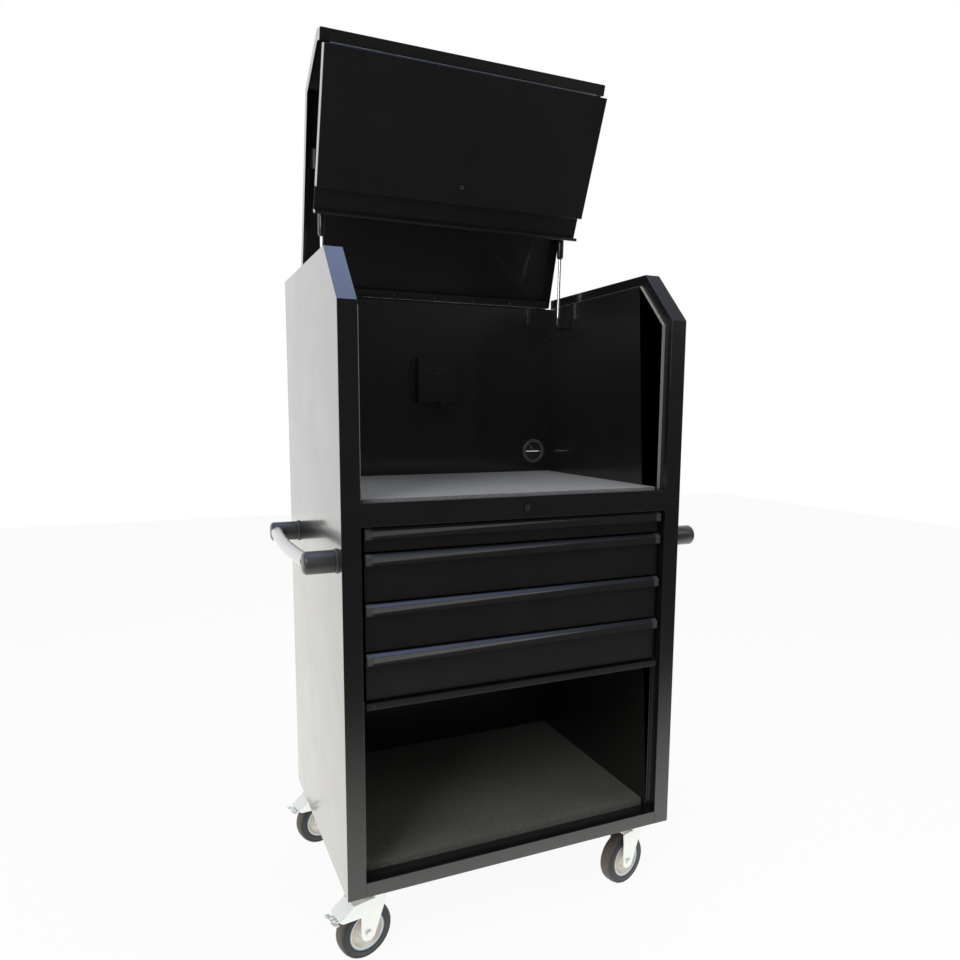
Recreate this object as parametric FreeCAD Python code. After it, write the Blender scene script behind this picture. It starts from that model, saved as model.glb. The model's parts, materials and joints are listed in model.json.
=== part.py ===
import FreeCAD, Part
import math
import os

from FreeCAD import Vector

# Diagnostic workstation: a tall steel cabinet on four casters, with a flip-up hood and a
# folding front flap over a work surface, four drawers and an open lower bay.
# Sizes are millimetres. The cabinet is drawn in its own frame: X across, Y back from the
# front face, Z up from the underside. place() then moves every piece to the floor frame.

# Cabinet carcass
width = 820.0
depth = 583.0
height = 1356.0
chamfer_foot = 1238.0
chamfer_run = 110.0
post = 40.0
sheet = 1.5
recess = 26.0
ledge = 8.0
back_wall = 15.0
base_height = 33.0

# Work surface and drawer bay
rail_top = 844.0
rail_height = 48.0
rail_depth = 22.0
rail_shelf = 13.0
deck_drop = 2.0
mat_thickness = 7.0
work_mat_setback = 28.0
floor_mat_thickness = 16.0
floor_mat_setback = 41.0
shelf_lip = 14.0
shelf_setback = 5.0

# Drawers
drawer_gap = 3.5
thin_front = 50.0
tall_front = 101.0
drawer_count = 4
front_setback = 16.0
front_thickness = 10.0
front_side_gap = 2.0
tray_sheet = 1.2
tray_rise = 5.0
tray_drop = 7.0
tray_length = 500.0
pull_setback = 3.0
pull_height = 23.0
pull_wall = 1.8
pull_cap = 13.0

# Drawer slides
slide_space = 13.0
slide_height = 34.0
slide_wall = 1.5
slide_play = 0.4
slide_start = 46.0
slide_length = 480.0

# Hood, flap and their hinges
hood_open = 74.0
flap_fold = 97.0
lid_gap = 4.0
seat_gap = 0.6
hood_lip_bottom = 1203.0
hood_edge_radius = 3.0
rear_return = 20.0
leaf = 1.2
leaf_gap = 0.4
knuckle_radius = 3.0
pin_radius = 1.5
pin_play = 0.06
hinge_length = 686.0
hinge_pitch = 12.25
flap_pitch = 49.0
flap_side_gap = 1.0
flap_thickness = 24.0
flap_raised = 293.0
grip_recess = 52.0
lip_thickness = 8.0
lip_reach = 21.0
lip_round = 3.6

# Gas struts
strut_x = 336.0
strut_low_y = 478.0
strut_low_z = 1267.0
strut_arm = 324.0
strut_drop = 34.0
strut_rod_shown = 178.0
strut_tube_radius = 9.0
strut_rod_radius = 4.0
strut_eye = 5.0
strut_play = 0.06
stud_radius = 3.5
stud_shoulder = 6.0
pivot_gap = 0.4
bracket_sheet = 3.0
bracket_front = 96.0
bracket_back = 10.0
bracket_down = 30.0
bracket_up = 16.0
bracket_corner = 8.0
hanger_side_gap = 8.0
hanger_half = 22.0
hanger_down = 12.0
hanger_foot = 20.0

# Locks
lock_radius = 8.2
lock_proud = 3.0
lock_plug_radius = 5.6
lock_play = 0.08
lock_length = 17.0
lock_slot_width = 1.6
lock_slot_length = 7.0
cam_length = 15.0
cam_width = 9.0
cam_thickness = 2.0
flap_lock_down = 252.0

# Side handles
handle_z = 724.0
handle_front = 43.0
handle_span = 429.0
handle_reach = 70.0
handle_boss_radius = 23.5
boss_chamfer = 5.0
boss_foot_rim = 2.0
boss_foot_height = 5.0
grip_radius = 14.5
grip_bow = 13.0
grip_setback = 1.5

# Wall fittings
box_width = 114.0
box_height = 122.0
box_depth = 24.0
box_x = -4.0
box_z = 1113.0
box_wall = 2.0
box_ear = 15.0
box_ear_corner = 12.0
box_tab_x = 16.0
box_tab_width = 16.0
box_tab_drop = 6.0
grommet_x = 311.0
grommet_z = 909.0
grommet_radius = 36.0
grommet_bore = 30.0
grommet_rim = 4.0
grommet_chamfer = 2.5
star_thickness = 2.5
star_slit = 1.2

# Screws
screw_inset = 10.0
screw_radius = 4.0
screw_dome = 2.0
bolt_across = 13.0
bolt_head = 5.0

# Casters
caster_height = 162.0
kingpin_x = 336.0
kingpin_inset = 54.0
kingpin_rear_inset = 46.0
caster_turn = 14.6
caster_trail = 31.0
wheel_radius = 62.5
wheel_width = 34.0
rim_radius = 41.0
rim_wall = 5.0
web = 8.0
hub_radius = 15.0
axle_radius = 4.0
axle_play = 0.08
fork_wall = 3.0
fork_inside = 42.0
leg_radius = 18.0
leg_front = 18.0
leg_waist = 57.0
housing_start = 65.0
housing_end = 99.0
housing_drop = 23.0
housing_skirt = 53.0
pedal_pivot = 88.0
pedal_end = 111.0
pedal_head = 9.0
pedal_sheet = 2.5
pedal_tube_radius = 4.0
pedal_arm_width = 28.0
ear_length = 10.0
ear_width = 14.0
ear_tilt = 40.0
plate_length = 105.0
plate_width = 80.0
plate_thickness = 3.0
race_height = 19.0
race_radius = 34.0
race_foot_radius = 28.0
race_gap = 0.4
kingpin_radius = 6.0
kingpin_play = 0.08
kingpin_head = 4.0

# Places worked out from the driving sizes
half = width / 2
post_x = half - post
liner_x = post_x - ledge
lid_x = post_x - lid_gap
flap_x = liner_x - flap_side_gap
back_y = depth - back_wall
rail_bottom = rail_top - rail_height
deck_top = rail_top - deck_drop
flange = recess - seat_gap
drawer_heights = [thin_front] + [tall_front] * (drawer_count - 1)
shelf_top = rail_bottom - sum(drawer_heights) - drawer_gap * (drawer_count + 1)
hinge_y = depth + knuckle_radius
hinge_z = height - flange - leaf - leaf_gap / 2
back_top = hinge_z - leaf - leaf_gap / 2
flap_hinge_y = flange + knuckle_radius
flap_hinge_z = hood_lip_bottom - leaf - leaf_gap / 2
flap_top = flap_hinge_z - leaf - leaf_gap / 2
flap_step = flap_top - flap_raised
flap_lip_top = flap_step - grip_recess
rear_reach = hinge_y + (depth - hinge_y) * math.cos(math.radians(hood_open)) \
    + (height - hinge_z) * math.sin(math.radians(hood_open))
origin_y = (rear_reach - lock_proud) / 2

HINGE = Vector(0, hinge_y, hinge_z)
FLAP_HINGE = Vector(0, flap_hinge_y, flap_hinge_z)
ACROSS = Vector(1, 0, 0)
BACK = Vector(0, 1, 0)
UP = Vector(0, 0, 1)


# Small helpers
def box(x0, x1, y0, y1, z0, z1):
    return Part.makeBox(x1 - x0, y1 - y0, z1 - z0, Vector(x0, y0, z0))


def rod(start, axis, radius, length):
    return Part.makeCylinder(radius, length, start, axis)


def ring(start, axis, outer, inner, length):
    return rod(start, axis, outer, length).cut(rod(start, axis, inner, length))


def prism(points, x0, x1):
    # A straight prism along X over an outline of (y, z) points
    wire = Part.makePolygon([Vector(x0, y, z) for y, z in points + points[:1]])
    return Part.Face(wire).extrude(Vector(x1 - x0, 0, 0))


def mirrored(shape):
    return shape.mirror(Vector(0, 0, 0), ACROSS)


def turned(shape, centre, axis, angle):
    copy = shape.copy()
    copy.rotate(centre, axis, angle)
    return copy


def moved(shape, x, y, z):
    copy = shape.copy()
    copy.translate(Vector(x, y, z))
    return copy


def fused(pieces):
    shape = pieces[0]
    for piece in pieces[1:]:
        shape = shape.fuse(piece)
    return shape.removeSplitter()


def raised(shape):
    # From the closed hood to the raised one
    return turned(shape, HINGE, ACROSS, -hood_open)


def folded(shape):
    # From the closed flap to the one folded back under the raised hood
    return raised(turned(shape, FLAP_HINGE, ACROSS, flap_fold))


def outline(inset, low=0.0, back=depth):
    # Side view of the cabinet, inset from its front, chamfer and top edges
    rise = height - chamfer_foot
    length = math.hypot(chamfer_run, rise)
    slope = rise / chamfer_run
    foot = chamfer_foot + slope * inset - inset * length / chamfer_run
    peak = chamfer_run + inset * length / rise - inset / slope
    return [(inset, low), (inset, foot), (peak, height - inset), (back, height - inset), (back, low)]


def save(node, solids):
    placed = [moved(solid, 0, -origin_y, caster_height) for solid in solids]
    shape = placed[0] if len(placed) == 1 else Part.makeCompound(placed)
    shape.exportStep("parts/" + node + ".step")


# Carcass
def side_panel():
    # Outer skin folded round the front post, chamfer and top, with a seat for the hood
    skin = prism(outline(0), post_x, half)
    hollow = prism(outline(sheet, sheet, depth - sheet), post_x - 1, half - sheet)
    cheek = prism(outline(0), post_x, post_x + sheet)
    cheek = cheek.cut(prism(outline(recess + sheet, -1, depth + 1), post_x - 1, post_x + 2 * sheet))
    seat = prism(outline(recess, base_height, back_y), liner_x, post_x + sheet)
    seat = seat.cut(prism(outline(recess + sheet, 0, depth), liner_x - 1, half))
    return fused([skin.cut(hollow), cheek, seat])


def side_liner():
    # Flat inner wall that carries the drawer slides and closes the work bay
    return prism(outline(recess + sheet, base_height, back_y), liner_x, liner_x + sheet)


def back_panel():
    # Box-section back wall; its flat top carries the hood hinge
    outer = box(-post_x, post_x, back_y, depth, 0, back_top)
    inner = box(-post_x + sheet, post_x - sheet, back_y + sheet, depth - sheet, sheet, back_top - sheet)
    hole = rod(Vector(grommet_x, back_y - 1, grommet_z), BACK, grommet_bore, back_wall + 2)
    sleeve = ring(Vector(grommet_x, back_y, grommet_z), BACK, grommet_bore + sheet, grommet_bore, back_wall)
    return fused([outer.cut(inner).cut(hole), sleeve])


def base_pan():
    # Closed base box with the bottom rail as its front face
    outer = box(-post_x, post_x, 0, back_y, 0, base_height)
    inner = box(-post_x + sheet, post_x - sheet, sheet, back_y - sheet, 2 * sheet, base_height - sheet)
    return outer.cut(inner)


def work_rail():
    # Folded rail across the front below the work bay, with the lock hole
    outer = box(-post_x, post_x, 0, rail_depth, rail_bottom, rail_top)
    inner = box(-post_x - 1, post_x + 1, sheet, rail_depth + 1, rail_bottom + sheet, rail_top - sheet)
    back_slot = box(-post_x - 1, post_x + 1, rail_shelf, rail_depth + 1,
                    rail_bottom + 2 * sheet, rail_top + 1)
    hole = rod(Vector(0, -1, rail_top - rail_height / 2), BACK, lock_radius - 1, 2 * sheet)
    return outer.cut(inner).cut(back_slot).cut(hole)


def worktop_deck():
    top = box(-liner_x, liner_x, rail_shelf, back_y, deck_top - sheet, deck_top)
    front = box(-liner_x, liner_x, rail_shelf, rail_shelf + sheet, deck_top - shelf_lip, deck_top)
    rear = box(-liner_x, liner_x, back_y - sheet, back_y, deck_top - shelf_lip, deck_top)
    return fused([top, front, rear])


def drawer_shelf():
    top = box(-liner_x, liner_x, shelf_setback, back_y, shelf_top - sheet, shelf_top)
    front = box(-liner_x, liner_x, shelf_setback, shelf_setback + sheet, shelf_top - shelf_lip, shelf_top)
    rear = box(-liner_x, liner_x, back_y - sheet, back_y, shelf_top - shelf_lip, shelf_top)
    return fused([top, front, rear])


def mat(x, y0, y1, z0, z1, corner):
    # Foam sheet with rounded upright corners
    sheet_solid = box(-x, x, y0, y1, z0, z1)
    edges = [e for e in sheet_solid.Edges if abs(e.tangentAt(e.FirstParameter).z) > 0.9]
    return sheet_solid.makeFillet(corner, edges)


# Drawers
def drawer_tops():
    # Top of each drawer front, from the work rail down
    tops = []
    level = rail_bottom - drawer_gap
    for tall in drawer_heights:
        tops.append(level)
        level -= tall + drawer_gap
    return tops


def drawer_box(top, tall):
    # Folded tray welded into the side flanges of a hollow pan front
    side = liner_x - slide_space
    y0 = front_setback + front_thickness
    low = top - tall + tray_rise
    high = top - tray_drop
    tray = box(-side, side, y0, y0 + tray_length, low, high)
    inside = box(-side + tray_sheet, side - tray_sheet, y0 + tray_sheet,
                 y0 + tray_length - tray_sheet, low + tray_sheet, high + 1)
    front_x = liner_x - front_side_gap
    pan = box(-front_x, front_x, front_setback, y0, top - tall, top)
    pan_hollow = box(-front_x + tray_sheet, front_x - tray_sheet, front_setback + tray_sheet, y0 + 1,
                     top - tall + tray_sheet, top - tray_sheet)
    bulkhead = box(-front_x, front_x, y0 - tray_sheet, y0, low, high)
    return fused([tray.cut(inside), pan.cut(pan_hollow), bulkhead])


def pull_profile(top, shrink):
    # Hooked pull: sloping top, upright nose, open below for the fingers
    nose = pull_setback + shrink
    back = front_setback - shrink
    return [(nose, top - pull_height), (nose, top - 6 - shrink * 0.4), (nose + 7, top - shrink),
            (back, top - shrink), (back, top - pull_height)]


def drawer_pull(top):
    # Full-width extrusion and its two moulded end caps
    end = liner_x - front_side_gap
    bar = prism(pull_profile(top, 0), -end + pull_cap, end - pull_cap)
    finger = pull_profile(top, pull_wall)
    finger = [(y, z - (1 if z < top - pull_height + 1 else 0)) for y, z in finger]
    bar = bar.cut(prism(finger, -end, end))
    cap = prism(pull_profile(top, 0), end - pull_cap, end)
    return [bar, cap, mirrored(cap)]


def runner(z):
    # Moving member of a slide, riveted to the tray side
    x0 = liner_x - slide_space
    x1 = liner_x - slide_wall - slide_play
    reach = slide_height / 2 - slide_wall - slide_play
    body = box(x0, x1, slide_start, slide_start + slide_length, z - reach, z + reach)
    hollow = box(x0 + slide_wall, x1 + 1, slide_start - 1, slide_start + slide_length + 1,
                 z - reach + slide_wall, z + reach - slide_wall)
    return body.cut(hollow)


def slide_channel(z):
    # Fixed member of a slide, riveted to the liner
    x0 = liner_x - slide_space + slide_wall + 2 * slide_play
    reach = slide_height / 2
    body = box(x0, liner_x, slide_start, slide_start + slide_length, z - reach, z + reach)
    hollow = box(x0 - 1, liner_x - slide_wall, slide_start - 1, slide_start + slide_length + 1,
                 z - reach + slide_wall, z + reach - slide_wall)
    return body.cut(hollow)


# Hinges
def knuckles(centre, pitch, first, length, bore):
    # Every other knuckle of a continuous hinge, bored for its pin
    count = int(round(length / pitch))
    start = -length / 2
    return [ring(Vector(start + i * pitch + leaf_gap / 2, centre.y, centre.z), ACROSS, knuckle_radius,
                 bore, pitch - leaf_gap) for i in range(first, count, 2)]


def hinge_leaf(centre, pitch, first, length, bore, plate):
    # Leaf plate with notches for the other leaf's knuckles
    start = -length / 2
    pin_room = (pin_radius + knuckle_radius) / 2
    plate = plate.cut(rod(Vector(start, centre.y, centre.z), ACROSS, pin_room, length))
    count = int(round(length / pitch))
    clear = knuckle_radius + leaf_gap
    for i in range(1 - first, count, 2):
        x = start + i * pitch
        plate = plate.cut(rod(Vector(x, centre.y, centre.z), ACROSS, clear, pitch))
    return fused([plate] + knuckles(centre, pitch, first, length, bore))


def strip(y0, y1, z0, z1, length):
    return box(-length / 2, length / 2, y0, y1, z0, z1)


def cabinet_hinge():
    low = hinge_z - leaf_gap / 2 - leaf
    plate = strip(depth - rear_return, hinge_y, low, low + leaf, hinge_length)
    pin = rod(Vector(-hinge_length / 2, hinge_y, hinge_z), ACROSS, pin_radius, hinge_length)
    return [hinge_leaf(HINGE, hinge_pitch, 0, hinge_length, pin_radius, plate), pin]


def hood_hinges():
    low = hinge_z + leaf_gap / 2
    rear = strip(depth - rear_return, hinge_y, low, low + leaf, hinge_length)
    low = flap_hinge_z + leaf_gap / 2
    front = strip(flange - rear_return, flap_hinge_y, low, low + leaf, hinge_length)
    bore = pin_radius + pin_play
    return [hinge_leaf(HINGE, hinge_pitch, 1, hinge_length, bore, rear),
            hinge_leaf(FLAP_HINGE, flap_pitch, 0, hinge_length, bore, front)]


def flap_hinge():
    low = flap_hinge_z - leaf_gap / 2 - leaf
    plate = strip(flange - rear_return, flap_hinge_y, low, low + leaf, hinge_length)
    pin = rod(Vector(-hinge_length / 2, flap_hinge_y, flap_hinge_z), ACROSS, pin_radius, hinge_length)
    return [hinge_leaf(FLAP_HINGE, flap_pitch, 1, hinge_length, pin_radius, plate), pin]


# Hood and flap
def hood_shell():
    # Shallow folded pan: top, chamfer and front lip, with side flanges and turned-in ends
    outer = outline(0)
    inner = outline(flange)
    rear_z = height - flange
    closed = [(0, hood_lip_bottom), outer[1], outer[2], outer[3], (depth, hood_lip_bottom)]
    block = prism(closed, -lid_x, lid_x)
    side_edges = [e for e in block.Edges
                  if abs(abs(e.CenterOfMass.x) - lid_x) < 0.01 and e.CenterOfMass.z > hood_lip_bottom + 1]
    below = [(flange, hood_lip_bottom - 1), inner[1], inner[2], (depth + 1, rear_z),
             (depth + 1, hood_lip_bottom - 1)]
    band = block.makeFillet(hood_edge_radius, side_edges).cut(prism(below, -lid_x - 1, lid_x + 1))
    skin = outline(sheet, 0, depth - sheet)
    rear_y = depth - rear_return
    hollow = [(sheet, hood_lip_bottom + sheet), skin[1], skin[2], skin[3], (depth - sheet, rear_z + sheet),
              (rear_y, rear_z + sheet), (rear_y, chamfer_foot), (flange + 1, hood_lip_bottom + sheet)]
    return band.cut(prism(hollow, -lid_x + sheet, lid_x - sheet))


def flap_panel():
    # Raised front pan with a recessed finger band below it
    pan = box(-flap_x, flap_x, 0, flap_thickness, flap_step, flap_top)
    hollow = box(-flap_x + sheet, flap_x - sheet, sheet, flap_thickness + 1,
                 flap_step + sheet, flap_top - sheet)
    upright = [e for e in pan.Edges if abs(e.tangentAt(e.FirstParameter).z) > 0.9 and e.CenterOfMass.y < 1]
    pan = pan.makeFillet(sheet * 1.2, upright).cut(hollow)
    lock_hole = rod(Vector(0, -1, flap_top - flap_lock_down), BACK, lock_radius - 1, 2 * sheet)
    band = box(-flap_x, flap_x, flap_thickness - sheet, flap_thickness, flap_lip_top, flap_step + sheet)
    return fused([pan.cut(lock_hole), band])


def flap_lip():
    # Rounded bar along the foot of the flap
    y0 = flap_thickness - lip_reach
    bar = box(-flap_x, flap_x, y0, flap_thickness, flap_lip_top - lip_thickness, flap_lip_top)
    nose = [e for e in bar.Edges if abs(e.CenterOfMass.y - y0) < 0.01 and abs(e.CenterOfMass.x) < 1]
    return bar.makeFillet(lip_round, nose)


# Locks
def lock_body(z):
    face = rod(Vector(0, -lock_proud, z), BACK, lock_radius, lock_proud)
    barrel = rod(Vector(0, 0, z), BACK, lock_radius - 1, lock_length)
    bore = rod(Vector(0, -lock_proud - 1, z), BACK, lock_plug_radius + lock_play,
               lock_length + lock_proud + 2)
    return face.fuse(barrel).removeSplitter().cut(bore)


def lock_plug(z):
    # Plug with its key slot, and the cam on its tail
    tail = lock_length + lock_play
    core = rod(Vector(0, 1 - lock_proud, z), BACK, lock_plug_radius, tail + lock_proud - 1)
    slot = box(-lock_slot_width / 2, lock_slot_width / 2, -lock_proud, lock_proud,
               z - lock_slot_length / 2, z + lock_slot_length / 2)
    cam = box(-cam_width / 2, cam_width / 2, tail, tail + cam_thickness, z - cam_length, z + cam_width / 2)
    return fused([core.cut(slot), cam])


# Gas struts, drawn for the right side and mirrored
def strut_points():
    low = Vector(strut_x, strut_low_y, strut_low_z)
    top = Vector(strut_x, hinge_y - strut_arm, hinge_z - strut_drop)
    vertex = Part.Vertex(top)
    high = raised(vertex).Point
    return low, high


def strut_rod():
    low, high = strut_points()
    axis = (high - low).normalize()
    travel_tip = low + axis * (strut_rod_shown + 2 * strut_tube_radius)
    stem = rod(low + axis * strut_eye, axis, strut_rod_radius, (travel_tip - low).Length - strut_eye)
    eye = rod(low - ACROSS * strut_eye, ACROSS, strut_tube_radius - 1, 2 * strut_eye)
    bore = rod(low - ACROSS * (strut_eye + 1), ACROSS, stud_radius + strut_play, 2 * strut_eye + 2)
    return fused([stem, eye]).cut(bore)


def strut_tube():
    low, high = strut_points()
    axis = (high - low).normalize()
    foot = low + axis * strut_rod_shown
    reach = (high - foot).Length
    body = rod(foot, axis, strut_tube_radius, reach - 2.4 * strut_eye)
    neck = rod(foot + axis * strut_tube_radius, axis, strut_rod_radius, reach - strut_tube_radius)
    eye = rod(high - ACROSS * strut_eye, ACROSS, strut_tube_radius - 1, 2 * strut_eye)
    bore = rod(foot - axis, axis, strut_rod_radius + strut_play, reach - 3.4 * strut_eye)
    return fused([body, neck, eye]).cut(bore)


def wall_bracket():
    # Pressed plate on the liner with the lower ball stud
    plate = box(liner_x - bracket_sheet, liner_x, strut_low_y - bracket_front, strut_low_y + bracket_back,
                strut_low_z - bracket_down, strut_low_z + bracket_up)
    edges = [e for e in plate.Edges if abs(e.tangentAt(e.FirstParameter).x) > 0.9]
    plate = plate.makeFillet(bracket_corner, edges)
    root_x = liner_x - bracket_sheet / 2
    inner_end = strut_x - strut_eye - 2
    stud = rod(Vector(inner_end, strut_low_y, strut_low_z), ACROSS, stud_radius, root_x - inner_end)
    outer_end = strut_x + strut_eye + pivot_gap
    shoulder = rod(Vector(outer_end, strut_low_y, strut_low_z), ACROSS, stud_shoulder, root_x - outer_end)
    return fused([plate, stud, shoulder])


def hood_bracket():
    # Hanging plate inside the hood with the upper stud, drawn with the hood closed
    y = hinge_y - strut_arm
    z = hinge_z - strut_drop
    stud_end = strut_x + strut_eye + pivot_gap
    x0 = stud_end + hanger_side_gap
    x1 = x0 + bracket_sheet
    top = height - sheet
    plate = box(x0, x1, y - hanger_half, y + hanger_half, z - hanger_down, top)
    foot = box(x0 - hanger_foot, x1, y - hanger_half, y + hanger_half, top - bracket_sheet, top)
    stud = rod(Vector(stud_end, y, z), ACROSS, stud_radius + 1.5, hanger_side_gap + 1)
    return fused([plate, foot, stud])


# Side handles, drawn for the right side and mirrored
def handle_boss(y):
    boss = rod(Vector(half, y, handle_z), ACROSS, handle_boss_radius, handle_reach)
    rim = [e for e in boss.Edges if e.Closed and e.CenterOfMass.x > half + 1]
    foot = rod(Vector(half, y, handle_z), ACROSS, handle_boss_radius + boss_foot_rim, boss_foot_height)
    return fused([boss.makeChamfer(boss_chamfer, rim), foot])


def handle_grip():
    # Tube on a shallow arc between the two bosses
    x0 = half + handle_reach - grip_radius - grip_setback
    middle = handle_front + handle_span / 2
    big = handle_span ** 2 / (8 * grip_bow) + grip_bow / 2
    sweep = 2 * math.degrees(math.asin(handle_span / 2 / big))
    centre = Vector(x0 + grip_bow - big, middle, handle_z)
    circle = Part.makeCircle(grip_radius, Vector(centre.x + big, middle, handle_z), BACK)
    section = Part.Face(Part.Wire(circle))
    grip = turned(section, centre, UP, -sweep / 2).revolve(centre, UP, sweep)
    for y in (handle_front, handle_front + handle_span):
        grip = grip.cut(rod(Vector(half, y, handle_z), ACROSS, handle_boss_radius, handle_reach + 40))
    return max(grip.Solids, key=lambda solid: solid.Volume)


# Wall fittings
def mount_box():
    # Small service box on a flanged plate, with button screws and a bottom tab
    x0 = box_x - box_width / 2
    x1 = box_x + box_width / 2
    z0 = box_z - box_height / 2
    z1 = box_z + box_height / 2
    face_y = back_y - box_depth
    body = box(x0, x1, face_y, back_y, z0, z1)
    inside = box(x0 + box_wall, x1 - box_wall, face_y + box_wall, back_y + 1, z0 + box_wall, z1 - box_wall)
    ears = box(x0 - box_ear, x1 + box_ear, back_y - box_wall, back_y, z0, z1)
    corners = [e for e in ears.Edges if abs(e.tangentAt(e.FirstParameter).y) > 0.9]
    ears = ears.makeChamfer(box_ear_corner, corners)
    tab_x = box_x + box_tab_x
    tab = box(tab_x - box_tab_width / 2, tab_x + box_tab_width / 2, face_y - sheet, face_y + 1,
              z0 - box_tab_drop, z0 + 8)
    domes = [button_head(Vector(box_x + dx, face_y, box_z + dz), -BACK, 4, 2.4)
             for dx, dz in ((-27, 26), (0, 16), (27, 25))]
    return [fused([body, ears]).cut(inside).fuse(tab).removeSplitter()] + domes


def grommet():
    # Snap-in ring and its rubber star with slits for the cables
    place = Vector(grommet_x, back_y, grommet_z)
    inner = grommet_bore - grommet_rim
    flange_ring = ring(place - BACK * grommet_rim, BACK, grommet_radius, inner, grommet_rim)
    rim = [e for e in flange_ring.Edges if e.Closed and e.CenterOfMass.y < back_y - grommet_rim + 1
           and abs(e.Curve.Radius - grommet_radius) < 0.1]
    flange_ring = flange_ring.makeChamfer(grommet_chamfer, rim)
    collar = ring(place, BACK, grommet_bore - 0.1, inner, back_wall)
    star = rod(place + BACK * 2, BACK, inner, star_thickness)
    for turn in (0, 60, 120):
        slit = box(grommet_x - inner + 3, grommet_x + inner - 3, back_y, back_y + 2 * star_thickness + 1,
                   grommet_z - star_slit / 2, grommet_z + star_slit / 2)
        star = star.cut(turned(slit, place, BACK, turn))
    return [fused([flange_ring, collar]), star]


def button_head(point, axis, radius, tall):
    # Low domed screw head on a face, turned from an arc
    big = (radius ** 2 + tall ** 2) / (2 * tall)
    spread = math.asin(radius / big) / 2
    centre = Vector(0, 0, 0)
    rim = Vector(radius, 0, 0)
    crest = Vector(0, 0, tall)
    shoulder = Vector(big * math.sin(spread), 0, tall - big + big * math.cos(spread))
    edges = [Part.LineSegment(centre, rim), Part.Arc(rim, shoulder, crest), Part.LineSegment(crest, centre)]
    dome = Part.Face(Part.Wire([edge.toShape() for edge in edges])).revolve(centre, UP, 360)
    dome.Placement = FreeCAD.Placement(point, FreeCAD.Rotation(UP, axis))
    return dome


def hex_head(point, across, tall):
    # Hexagon bolt head hanging under a plate
    spoke = Vector(across / math.sqrt(3), 0, 0)
    corners = [point + FreeCAD.Rotation(UP, 60 * i).multVec(spoke) for i in range(7)]
    return Part.Face(Part.makePolygon(corners)).extrude(Vector(0, 0, -tall))


def cabinet_screws():
    heads = []
    for x in (-liner_x + 17, liner_x - 46):
        point = Vector(x, shelf_setback, shelf_top - shelf_lip / 2)
        heads.append(button_head(point, -BACK, screw_radius, screw_dome))
    for x in (-liner_x + screw_inset, liner_x - screw_inset):
        for z in (grommet_z + 62, hinge_z - 90):
            heads.append(button_head(Vector(x, back_y, z), -BACK, screw_radius, screw_dome))
    for x, y in kingpins():
        for dx in (-plate_length / 2 + 12, plate_length / 2 - 12):
            for dy in (-plate_width / 2 + 11, plate_width / 2 - 11):
                heads.append(hex_head(Vector(x + dx, y + dy, -plate_thickness), bolt_across, bolt_head))
    return heads


# Casters, drawn with the kingpin on Z and the wheel trailing towards -X
def kingpins():
    return [(-kingpin_x, kingpin_inset), (kingpin_x, kingpin_inset),
            (-kingpin_x, depth - kingpin_rear_inset), (kingpin_x, depth - kingpin_rear_inset)]


axle_z = wheel_radius - caster_height
crown_z = -plate_thickness - race_height - race_gap
fork_outer = fork_inside / 2 + fork_wall
pedal_top = crown_z - housing_drop - fork_wall * 1.4
pedal_z = pedal_top + pedal_tube_radius - 1


def caster_plate():
    plate = box(-plate_length / 2, plate_length / 2, -plate_width / 2, plate_width / 2, -plate_thickness, 0)
    edges = [e for e in plate.Edges if abs(e.tangentAt(e.FirstParameter).z) > 0.9]
    plate = plate.makeFillet(8, edges)
    race = Part.makeCone(race_radius, race_foot_radius, race_height, Vector(0, 0, -plate_thickness), -UP)
    under = crown_z - fork_wall - race_gap
    pin = rod(Vector(0, 0, 0), -UP, kingpin_radius, -under)
    head = rod(Vector(0, 0, under), -UP, 2 * kingpin_radius, kingpin_head)
    return fused([plate, race, pin, head])


def cheek(braked):
    # One fork leg, from the crown down round the axle; the braked one runs out to the pedal
    axle = Vector(-caster_trail, 0, axle_z)
    front = Vector(axle.x + leg_radius * 0.8, 0, axle.z - leg_radius * 0.6)
    foot = Vector(axle.x, 0, axle.z - leg_radius)
    rear = Vector(axle.x - leg_radius, 0, axle.z)
    leg_x = axle.x - leg_radius
    if braked:
        outer = [(leg_x, -leg_waist), (-housing_end + 8, -housing_skirt),
                 (-housing_end, crown_z - housing_drop - fork_wall), (-housing_end, crown_z - housing_drop),
                 (-housing_start, crown_z)]
    else:
        outer = [(leg_x, crown_z - fork_wall), (leg_x + fork_wall, crown_z)]
    edges = [Part.LineSegment(Vector(leg_front, 0, crown_z), front).toShape(),
             Part.Arc(front, foot, rear).toShape()]
    previous = rear
    for x, z in outer + [(leg_front, crown_z)]:
        point = Vector(x, 0, z)
        edges.append(Part.LineSegment(previous, point).toShape())
        previous = point
    leg = Part.Face(Part.Wire(edges)).extrude(Vector(0, fork_wall, 0))
    return moved(leg, 0, fork_inside / 2, 0)


def pedal_housing():
    # Sloping top between the long cheeks, over the pedal
    edge = [(-housing_start, crown_z), (-housing_end, crown_z - housing_drop)]
    corners = edge + [(x, z - fork_wall) for x, z in reversed(edge)]
    wire = Part.makePolygon([Vector(x, -fork_outer, z) for x, z in corners + corners[:1]])
    return Part.Face(wire).extrude(Vector(0, 2 * fork_outer, 0))


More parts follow.
